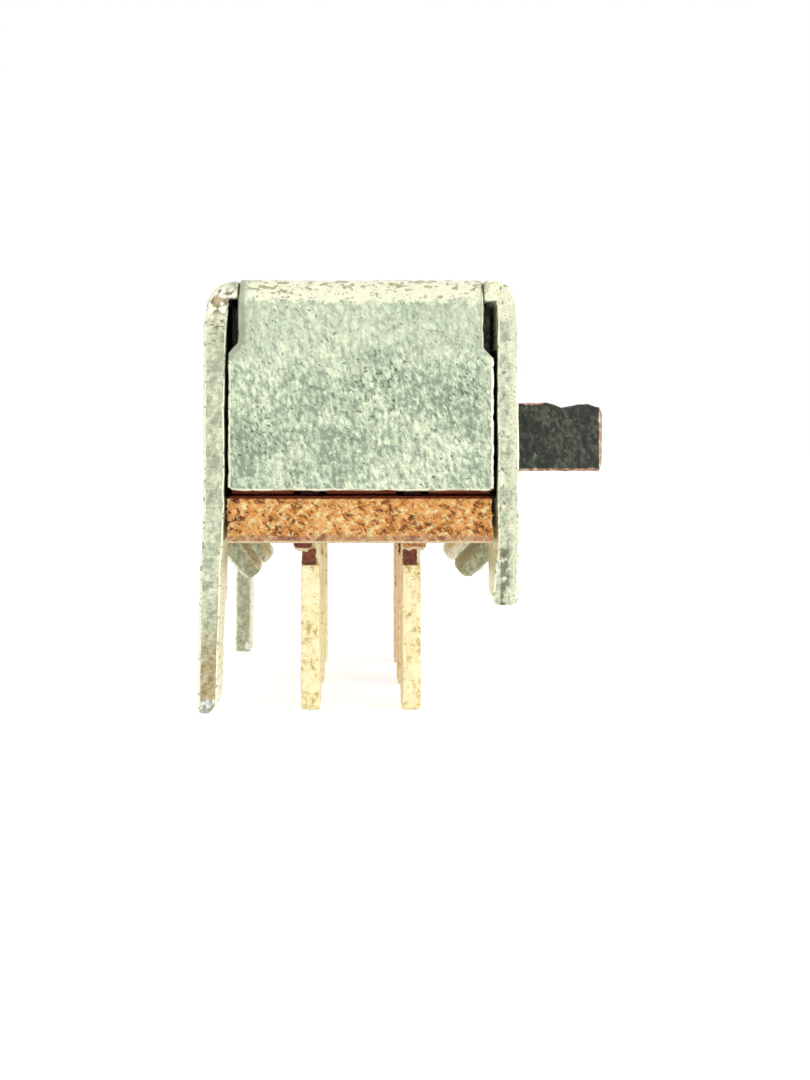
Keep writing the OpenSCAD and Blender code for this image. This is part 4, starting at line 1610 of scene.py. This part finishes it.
@dataclass
class Board:
    """The punched laminate board, with its six slots and the fibres torn up along its edges."""

    effects: Effects
    spacing: float = 0.036
    coarse: float = 0.2
    edge_r: float = 0.05
    relief: float = 0.034
    blade_t: float = 0.46
    blade_w: float = 1.1
    board_t: float = 1.1
    trim: tuple[float, float] = (0.005, 0.03)
    taper: float = 0.06
    frayed: float = 0.12
    nibble: tuple[float, float] = (0.03, 0.14)
    flakes: int = 620
    flake_l: tuple[float, float] = (0.08, 0.36)
    flake_w: tuple[float, float] = (0.03, 0.075)
    strands: int = 110
    strand_half: tuple[float, float] = (0.05, 0.17)
    strand_r: tuple[float, float] = (0.006, 0.014)
    splinters: tuple[int, int] = (7, 3)
    splinter_half: float = 0.2
    splinter_lift: float = 0.14

    def build(self) -> bpy.types.Object:
        """Builds and dresses the board.

        Returns:
            The piece.
        """
        low, high = node_box("base_board")
        low, high = low + [self.trim[0], 0, 0], high - [self.trim[1], 0, 0]
        low[2] = high[2] - self.board_t
        slots = [strip_slot(name, self.blade_t, self.blade_w) for name in TERMINALS]
        r = self.edge_r
        xs = span(low[0], high[0], r, self.spacing, [corner[0] for s in slots for corner in s])
        ys = span(low[1], high[1], r, self.coarse, [corner[1] for s in slots for corner in s])
        zs = span(low[2], high[2], r, self.spacing)
        mid_x, mid_y = (xs[1:] + xs[:-1]) / 2, (ys[1:] + ys[:-1]) / 2
        solid = np.ones((len(mid_x), len(mid_y)), bool)
        for first, last in slots:
            solid &= ~np.outer((mid_x > first[0]) & (mid_x < last[0]), (mid_y > first[1]) & (mid_y < last[1]))
        points, faces, _, _ = Lattice(xs, ys, zs, np.repeat(solid[:, :, None], len(zs) - 1, 2)).skin()
        points, raised = self.roughened(soften_box(points, low, high, r), low, high)
        strands = self.torn_strands(low, high)
        skin = Skin(points, faces.tolist()).joined(strands)
        raised = np.concatenate([raised, np.full(len(strands.points), 1.0)])
        piece = write_mesh("base_board_laminate", skin, {"raised": raised})
        return settle(piece, [Laminate(self.effects).material()], Body.HOUSING, Slot.LAMINATE, "base_board")

    def roughened(self, points: Array, low: Array, high: Array) -> tuple[Array, Array]:
        """Tears up the board's punched edges.

        Each near or far face moves in and out by the relief times the strewn flakes and a ripple, fading
        to nothing a little way in from it. The top edge is nibbled by a longer ripple, and the right end leans in
        towards the top.

        Args:
            points: the board's points.
            low: its lowest corner.
            high: its highest corner.

        Returns:
            The moved points, and how far each was raised, from -1 to 1.
        """
        moved = points.copy()
        raised = np.zeros(len(points))
        for way, seed in ((-1, 3), (1, 4)):
            depth = np.abs(points[:, 1] - (low[1] if way < 0 else high[1]))
            close = fading(depth, self.frayed)
            near = close > 0
            flat = points[near][:, [0, 2]]
            chips = Chips(self.flakes, seed, self.flake_l, self.flake_w).at(flat, low[[0, 2]], high[[0, 2]])
            ripple = Ripple(0.3, seed).at(points[near]) * 0.25 + Ripple(0.1, seed + 9).at(points[near]) * 0.3
            height = np.clip(chips + ripple, -1, 1)
            moved[near, 1] += way * self.relief * (height - 1) * close[near]
            raised[near] = height * close[near]
            rim = fading(high[2] - points[near, 2], self.nibble[1]) * close[near]
            moved[near, 2] -= self.nibble[0] * rim * np.clip(1 + Ripple(0.3, seed + 20).at(points[near]), 0, 2.5)
        up = (points[:, 2] - low[2]) / (high[2] - low[2])
        end = fading(high[0] - points[:, 0], 0.3)
        moved[:, 0] -= self.taper * up * end * np.clip(1 + 0.5 * Ripple(0.4, 31).at(points), 0, 2)
        return moved, raised

    def torn_strands(self, low: Array, high: Array) -> Skin:
        """Fine curved fibres that stand a little off the near and far faces, thicker strewn at their left ends."""
        rng = np.random.default_rng(12)
        n = self.strands
        way = np.where(np.arange(2 * n) < n, -1, 1)
        across = np.where(rng.uniform(size=2 * n) < 0.2, rng.uniform(0, 0.5, 2 * n), rng.uniform(0, 6.3, 2 * n))
        middle = np.stack([
            low[0] + 0.08 + across,
            np.where(way < 0, low[1], high[1]) - way * (self.relief - 0.012),
            rng.uniform(low[2] + 0.12, high[2] - 0.12, 2 * n),
        ], 1)
        middle[:, 0] = np.clip(middle[:, 0], low[0] + 0.08, high[0] - 0.15)
        lean = rng.normal(0, 0.8, 2 * n)
        long = rng.uniform(*self.strand_half, 2 * n)
        t = np.linspace(-1, 1, 7)[None, :, None]
        way_on = np.stack([np.cos(lean), np.zeros(2 * n), np.sin(lean)], 1)[:, None]
        aside = np.stack([-np.sin(lean), np.zeros(2 * n), np.cos(lean)], 1)[:, None]
        off = np.stack([np.zeros(2 * n), way, np.zeros(2 * n)], 1)[:, None]
        bow = rng.uniform(-0.035, 0.035, 2 * n)[:, None, None]
        lift = rng.uniform(0.0, 0.03, 2 * n)[:, None, None]
        splinter = np.arange(2 * n) % n < np.where(way < 0, *self.splinters)
        lift = np.where(splinter[:, None, None], lift + self.splinter_lift, lift)
        long = np.where(splinter, self.splinter_half, long)
        middle[splinter, 0] = low[0] + rng.uniform(0.05, 0.3, splinter.sum())
        lines = middle[:, None] + t * long[:, None, None] * way_on + (t**2) * bow * aside + (t**2) * lift * off
        lines[..., 0] = np.clip(lines[..., 0], low[0] + 0.01, high[0] - 0.01)
        lines[..., 2] = np.clip(lines[..., 2], low[2] + 0.02, high[2] - 0.05)
        return tubes(lines, rng.uniform(*self.strand_r, 2 * n), 6)


@dataclass
class SwagedLips:
    """The torn lip that each terminal's punch pushed out of the laminate, and two dark blocks of painted shade in
    its waist.
    """

    effects: Effects
    waist_w: float = 0.7
    blade_w: float = 1.1
    board_z: float = 1.5
    drop: float = 0.27
    half_x: float = 0.24
    half_y: float = 0.68
    outward: float = 0.20
    wide_x: float = 0.31
    wide_out: float = 0.08
    plug_x: float = 0.33
    plug_z: tuple[float, float] = (0.89, 1.30)
    plug_r: float = 0.05
    plug_in: float = 0.04
    rough: float = 0.006
    around: int = 72

    def build(self) -> bpy.types.Object:
        """Builds and dresses all six lips and the blocks of painted shade beside them, as one piece.

        Returns:
            The piece.
        """
        skin, rim, tone = Skin(np.zeros((0, 3)), []), [], []
        for i, node in enumerate(TERMINALS):
            low, high = node_box(node)
            middle = (low + high) / 2
            side = 1 if middle[0] > 0 else -1
            for j, (part, looks) in enumerate([self.lip(middle, side, 60 + i), *self.shade_plugs(middle, 80 + i)]):
                skin = skin.joined(part)
                rim.append(looks)
                tone.append(np.full(len(looks), float(side > 0 and j == 0)))
        piece = write_mesh("laminate_lips", skin, {"rim": np.concatenate(rim), "tone": np.concatenate(tone)})
        return settle(piece, [Resin(self.effects).material()], Body.HOUSING, Slot.LAMINATE)

    def lip(self, middle: Array, side: int, seed: int) -> tuple[Skin, Array]:
        """A shallow cup that hangs below the board round a terminal's outer face.

        It is a half ellipsoid shell: rows go down from the board to the rim, columns round it. The inside
        rises again as a hollow.

        Args:
            middle: the terminal's middle.
            side: the side of the switch that it stands on.
            seed: the random seed of its torn rim.

        Returns:
            The closed skin, and how close each point is to the torn rim.
        """
        down = np.array([-0.10, 0.12, 0.34, 0.58, 0.78, 0.92, 1.0, 1.0, 0.90, 0.62, 0.36])
        wide = np.array([1.00, 1.00, 0.99, 0.96, 0.91, 0.85, 0.78, 0.66, 0.52, 0.36, 0.16])
        turn = np.linspace(0, 2 * math.pi, self.around, endpoint=False)
        round_x = np.sign(np.cos(turn)) * np.abs(np.cos(turn)) ** 0.6
        round_y = np.sign(np.sin(turn)) * np.abs(np.sin(turn)) ** 0.6
        half_x, outward = (self.half_x, self.outward) if side < 0 else (self.wide_x, self.wide_out)
        ring = np.stack([round_x * half_x, round_y * self.half_y], 1)
        centre = middle[:2] + [side * outward, 0]
        flat = centre + wide[:, None, None] * ring[None]
        depth = self.drop * down[:, None]
        torn = Ripple(0.4, seed).at(np.pad(flat[0], ((0, 0), (0, 1)))) * 0.08 + 1.0
        z = self.board_z - depth * np.where(down[:, None] > 0, torn, 1)
        points = np.concatenate([flat, z[..., None]], 2)
        rough = drift(0.2, seed + 1, points.reshape(-1, 3), 2).reshape(*z.shape, 2)
        points[:, :, :2] += self.rough * rough * (down > 0)[:, None, None]
        number = np.arange(z.size).reshape(z.shape)
        quads = ring_quads(number)
        rim = np.repeat(np.interp(np.arange(len(down)), [0, 3.0, 4.0, 7, 8.5], [0, 0, 1, 1, 0]), z.shape[1])
        return Skin(points.reshape(-1, 3), [*quads.tolist(), number[0].tolist(), number[-1][::-1].tolist()]), rim

    def shade_plugs(self, middle: Array, seed: int) -> list[tuple[Skin, Array]]:
        """The two rough dark blocks in the sides of a terminal's waist: painted shade where the waist is set back
        under the lip.

        Args:
            middle: the terminal's middle.
            seed: the random seed of their roughness.

        Returns:
            Their closed skins, and how close each point is to a torn rim.
        """
        made = []
        for way in (-1, 1):
            inner, outer = way * (self.waist_w / 2 - 0.02), way * (self.blade_w / 2 - 0.03)
            x, half = middle[0] - self.plug_in, self.plug_x / 2
            low = np.array([x - half, middle[1] + min(inner, outer), self.plug_z[0] - 0.01])
            high = np.array([x + half, middle[1] + max(inner, outer), self.plug_z[1]])
            points, faces = box_skin(low, high, self.plug_r, 0.035)
            rounded = soften_box(points, low, high, self.plug_r)
            rough = drift(0.16, seed + 5 * way, points) * 0.012
            rim = np.interp(high[2] - points[:, 2], [0.0, 0.05], [0.7, 0.0])
            made.append((Skin(rounded + rough * [1, 1, 0.6], faces.tolist()), rim))
        return made


@dataclass
class Terminal:
    """One flat terminal, stamped from strip."""

    node: str
    finish: bpy.types.Material
    seed: int
    blade_w: float = 1.1
    waist_w: float = 0.7
    tail_shoulder_z: float = 0.89
    board_z: float = 1.5
    board_top: float = 2.6
    tip: float = 0.161
    roll: float = 0.035
    spacing: float = 0.07
    wobble: float = 0.010

    def build(self) -> bpy.types.Object:
        """Builds and dresses the terminal.

        Returns:
            The piece.
        """
        low, high = node_box(self.node)
        middle, thick = (low + high) / 2, high[0] - low[0]
        loop = resample_loop(self.outline(low, high), self.spacing, 0.05)
        skin = stamped_blank(loop, thick, self.roll)
        points = np.stack([skin.points[:, 2], skin.points[:, 0], skin.points[:, 1]], 1)
        sway = drift(0.5, self.seed, points) * self.wobble
        free = np.clip((self.board_z - 0.05 - points[:, 2]) / 0.2, 0, 1)[:, None]
        points = points + np.array([middle[0], middle[1], 0]) + sway * free * [0.4, 0.8, 0.0]
        piece = write_mesh(self.node + "_strip", Skin(points, skin.faces))
        return settle(piece, [self.finish], Body.HOUSING, Slot.TERMINAL, self.node)

    def outline(self, low: Array, high: Array) -> Array:
        """The terminal's outline across its strip, anticlockwise, as half of it and its mirror image.

        Args:
            low: the CAD solid's lowest corner.
            high: its highest corner.

        Returns:
            The corners, along Y and Z.
        """
        tail, waist, head = self.blade_w / 2, self.waist_w / 2, (high[1] - low[1]) / 2
        right = np.array([
            [tail - self.tip, low[2]], [tail, low[2] + self.tip], [tail, self.tail_shoulder_z],
            [waist, self.tail_shoulder_z], [waist, self.board_z], [tail, self.board_z], [tail, self.board_top],
            [head, self.board_top], [head, high[2] - self.tip], [head - self.tip, high[2]],
        ])
        return np.vstack([right, right[::-1] * [-1, 1]])


@dataclass
class Slider:
    """The moulded slider, with its knob as a rough block of its own."""

    effects: Effects
    edge_r: float = 0.05
    cut_x: float = 3.16
    knob_x: float = 3.10
    knob_y: tuple[float, float] = (-2.25, -0.25)
    knob_z: tuple[float, float] = (3.18, 4.92)
    crown: float = 0.23
    dome_r: float = 0.3
    wall_x: float = 3.75
    rim: float = 0.05
    spacing: float = 0.05

    def build(self) -> list[bpy.types.Object]:
        """Builds and dresses the body and the knob.

        Returns:
            The pieces.
        """
        finish = Moulding(self.effects).material()
        body, knob = merged_copy("slider", "slider_moulding", self.cut_x), self.knob()
        soften_edges(body, self.edge_r)
        flatten_light(knob)
        settle(body, [finish], Body.SLIDE, Slot.MOULDING, "slider")
        settle(knob, [finish], Body.SLIDE, Slot.MOULDING)
        return [body, knob]

    def knob(self) -> bpy.types.Object:
        """Builds the knob: a block whose end bulges in a shallow arc and whose edges are worn unevenly.

        Across the knob's length l the end falls back by R - sqrt(R^2 - y^2), where R gives the crown at l / 2.
        Towards the top and the bottom the bulge falls back by a second arc.

        Returns:
            The piece.
        """
        _, top = node_box("slider")
        low = np.array([self.knob_x, self.knob_y[0], self.knob_z[0]])
        high = np.array([top[0], self.knob_y[1], self.knob_z[1]])
        points, faces = box_skin(low, high, self.rim, self.spacing)
        pull = np.clip(points, low + self.rim, high - self.rim) - points
        pull[:, 0] = np.minimum(pull[:, 0], 0)
        rounded = points + rounded_by(pull)
        x, y, z = points.T
        half_y, half_z = (high[1] - low[1]) / 2, (high[2] - low[2]) / 2
        along, up = y - (low[1] + half_y), z - (low[2] + half_z)
        radius = (half_y**2 + self.crown**2) / (2 * self.crown)
        fall = radius - np.sqrt(radius**2 - along**2)
        reach = np.clip(np.abs(up) - half_z + self.dome_r, 0, self.dome_r)
        dome = self.dome_r - np.sqrt(self.dome_r**2 - reach**2)
        out = np.clip((x - high[0]) / 0.8 + 1, 0, 1)
        rounded[:, 0] -= out * (fall + np.minimum(dome, self.crown) * (1 - fall / self.crown))
        free = np.clip((x - self.wall_x) / 0.1, 0, 1)
        wear = np.clip(Ripple(0.35, 71).at(points) * 0.5 + Ripple(0.9, 72).at(points) * 0.5, 0, 2)
        dip = np.interp(x, [4.75, 4.95, 5.15, 5.35, 5.55, 5.9, 6.2], [0, 0.04, 0.13, 0.13, 0.04, 0.02, 0.09])
        over, under = (np.clip(way * up / half_z, 0, 1) ** 4 for way in (1, -1))
        rounded[:, 2] += free * (under * 0.02 * wear - over * (dip + 0.012 * wear))
        rounded += drift(0.3, 74, points) * 0.004 * free[:, None]
        down, beside = z - low[2], np.minimum(y - low[1], high[1] - y)
        bottom = np.clip(1.2 - down / 0.09, 0, 1) * np.clip(1.1 - beside / 0.4, 0.3, 1)
        top = np.clip(1.2 - (high[2] - z) / 0.07, 0, 1) * np.interp(x, [4.0, 4.3, 4.6, 4.75], [0.35, 0.9, 0.8, 0.25])
        edge = np.minimum.reduce([beside, down, high[2] - z])
        band = np.clip(1.2 - (y - low[1]) / 0.42, 0, 1) * np.interp(z, [3.25, 3.45, 4.5, 4.75], [0.3, 1, 1, 0])
        end = fading(high[0] - x, 0.04) * np.maximum(np.clip(1.2 - edge / 0.09, 0, 1), band)
        chipped = np.maximum.reduce([bottom, top * np.clip(1.2 - beside / 0.1, 0, 1), end]) * free
        return write_mesh("slider_knob", Skin(rounded, faces.tolist()), {"chipped": chipped})


@dataclass
class Contacts:
    """The two contact clips, from their CAD solids."""

    effects: Effects
    edge_r: float = 0.02

    def build(self) -> list[bpy.types.Object]:
        """Builds and dresses the clips.

        Returns:
            The pieces.
        """
        finish = Strip(self.effects).material()
        made = []
        for side in ("left", "right"):
            node = f"contact_clip_{side}"
            piece = merged_copy(node, node + "_strip")
            soften_edges(piece, self.edge_r, segments=2)
            made.append(settle(piece, [finish], Body.SLIDE, Slot.CLIP, node))
        return made


@dataclass
class Detent:
    """The click's spring and ball."""

    effects: Effects
    wire_d: float = 0.12
    turns: int = 5
    close: float = 1.2
    sides: int = 14
    per_turn: int = 40

    def build(self) -> list[bpy.types.Object]:
        """Builds and dresses both.

        Returns:
            The pieces.
        """
        return [self.spring(), self.ball()]

    def spring(self) -> bpy.types.Object:
        """Winds the spring's wire on a helix whose end turns lie close.

        At turn t the wire's middle is at (r cos 2 pi t, r sin 2 pi t, height(t)), where the height rises by the
        close rise over the first and last turns, and evenly over those between.

        Returns:
            The piece.
        """
        low, high = node_box("detent_spring")
        middle = (low + high) / 2
        r = (high[0] - low[0] - self.wire_d) / 2
        floor, top = low[2] + self.wire_d / 2, high[2] - self.wire_d / 2
        rise = self.close * self.wire_d
        t = np.linspace(0, self.turns, self.turns * self.per_turn + 1)
        height = np.interp(t, [0, 1, self.turns - 1, self.turns], [floor, floor + rise, top - rise, top])
        angle = 2 * math.pi * t
        line = np.stack([middle[0] + r * np.cos(angle), middle[1] + r * np.sin(angle), height], 1)
        skin = tubes(line[None], np.array([self.wire_d / 2]), self.sides)
        piece = write_mesh("detent_spring_wire", skin)
        finish = Strip(self.effects, "spring_wire", (0.52, 0.53, 0.54), (0.30, 0.30, 0.31), 0.25, EVEN).material()
        return settle(piece, [finish], Body.SLIDE, Slot.WIRE, "detent_spring")

    def ball(self) -> bpy.types.Object:
        """Turns the ball: point (u, v) is the middle plus r (cos u sin v, sin u sin v, cos v).

        Returns:
            The piece.
        """
        low, high = node_box("detent_ball")
        middle, r = (low + high) / 2, (high[2] - low[2]) / 2
        u = np.linspace(0, 2 * math.pi, 48, endpoint=False)
        v = np.linspace(0, math.pi, 26)[1:-1]
        around, down = np.meshgrid(u, v)
        shell = np.stack([np.cos(around) * np.sin(down), np.sin(around) * np.sin(down), np.cos(down)], 2)
        points = np.vstack([middle + r * shell.reshape(-1, 3), middle + [[0, 0, r]], middle - [[0, 0, r]]])
        number = np.arange(len(v) * len(u)).reshape(len(v), len(u))
        nxt, quads = np.roll(number, -1, 1), ring_quads(number).tolist()
        top, bottom = number.size, number.size + 1
        caps = [[top, a, b] for a, b in zip(number[0].tolist(), nxt[0].tolist())]
        caps += [[bottom, b, a] for a, b in zip(number[-1].tolist(), nxt[-1].tolist())]
        piece = write_mesh("detent_ball_steel", Skin(points, quads + caps))
        finish = Strip(self.effects, "ball_steel", (0.72, 0.73, 0.74), (0.60, 0.61, 0.62), 0.10, EVEN).material()
        return settle(piece, [finish], Body.BALL, Slot.BALL, "detent_ball")


# ---------------------------------------------------------------- the studio


@dataclass
class Studio:
    """The floor, the world, the lamps and the camera."""

    eye: tuple[float, float, float] = (-0.036, -25.9, 3.845)
    lens: float = 30.9
    shift: tuple[float, float] = (45.5 / 1080, -95 / 1080)
    floor_z: float = -2.75
    floor_half: float = 600.0

    def build(self) -> None:
        """Sets up the studio."""
        self.floor()
        self.world()
        self.lamp("key", (66, -22, 24), 45, 4.4)
        self.lamp("fill", (-40, -60, 25), 45, 0.7)
        self.camera()
        bpy.context.scene.view_settings.view_transform = "Standard"

    @staticmethod
    def sees_white(g: Graph) -> Socket:
        """1 for the rays that should find a white background: straight, mirrored and passed through."""
        path = g.add("LightPath").outputs
        mirrored = g.math("MAXIMUM", path["Is Glossy Ray"], path["Is Transmission Ray"])
        return g.math("MAXIMUM", path["Is Camera Ray"], mirrored)

    def floor(self) -> None:
        """Lays the pale floor, which shows white to the camera and keeps the object's shadow."""
        h, z = self.floor_half, self.floor_z
        square = Skin(np.array([[-h, -h, z], [h, -h, z], [h, h, z], [-h, h, z]]), [[0, 1, 2, 3]])
        piece = write_mesh("floor", square)
        made = bpy.data.materials.new("floor_white")
        g = Graph.cleared(made)
        plain = g.add("BsdfDiffuse", {"Color": (0.8, 0.8, 0.8)})
        shaded = g.add("BsdfDiffuse", {"Color": (0.45, 0.45, 0.45)})
        glow = g.add("Emission", {"Color": (1.0, 1.0, 1.0), "Strength": 0.75})
        seen = g.add("AddShader", {0: shaded.outputs[0], 1: glow.outputs[0]})
        both = g.add("MixShader", {0: self.sees_white(g), 1: plain.outputs[0], 2: seen.outputs[0]})
        g.add("OutputMaterial", {"Surface": both.outputs[0]})
        piece.data.materials.append(made)

    def world(self) -> None:
        """Makes the world: white to the camera and in reflections, and for light paler overhead than below."""
        world = bpy.data.worlds.new("studio")
        bpy.context.scene.world = world
        g = Graph.cleared(world)
        up = g.parts(g.add("TexCoord").outputs["Generated"])[2]
        level = g.remap(up, -0.1, 0.9, (0.60, 0.90))
        light = g.add("Background", {"Color": (1.0, 1.0, 1.0), "Strength": level})
        white = g.add("Background", {"Color": (1.0, 1.0, 1.0), "Strength": 1.0})
        both = g.add("MixShader", {0: self.sees_white(g), 1: light.outputs[0], 2: white.outputs[0]})
        g.add("OutputWorld", {"Surface": both.outputs[0]})

    def lamp(self, name: str, place: tuple[float, float, float], size: float, radiance: float) -> None:
        """Hangs a square soft lamp that faces the switch.

        Args:
            name: the lamp's name.
            place: where it hangs.
            size: the length of its side.
            radiance: how bright its face is; its power is that times pi times its area.
        """
        data = bpy.data.lights.new(name, "AREA")
        data.shape = "SQUARE"
        data.size = size * MM
        data.energy = radiance * math.pi * (size * MM) ** 2
        piece = placed(name, data)
        piece.location = Vector(place) * MM
        piece.rotation_euler = (Vector((0, 0, 3)) - Vector(place)).to_track_quat("-Z", "Y").to_euler()

    def camera(self) -> None:
        """Sets the camera level and square to the near end, just left of the middle."""
        data = bpy.data.cameras.new("camera")
        data.sensor_width = 36.0
        data.lens = self.lens
        data.shift_x, data.shift_y = self.shift
        data.clip_start, data.clip_end = 0.5 * MM, 5.0
        piece = placed("camera", data)
        piece.location = Vector(self.eye) * MM
        piece.rotation_euler = (math.pi / 2, 0, 0)
        bpy.context.scene.camera = piece


def main() -> None:
    """Builds the switch and its studio, piece by piece."""
    logging.basicConfig(level=logging.INFO, format="%(name)s: %(message)s")
    effects = Effects()
    brass = TinnedBrass(effects).material()
    made = [Cover(effects).build(), Board(effects).build(), SwagedLips(effects).build()]
    made += [Terminal(node, brass, 50 + 7 * i).build() for i, node in enumerate(TERMINALS)]
    made += [*Slider(effects).build(), *Contacts(effects).build(), *Detent(effects).build()]
    Studio().build()


if __name__ == "__main__":
    main()
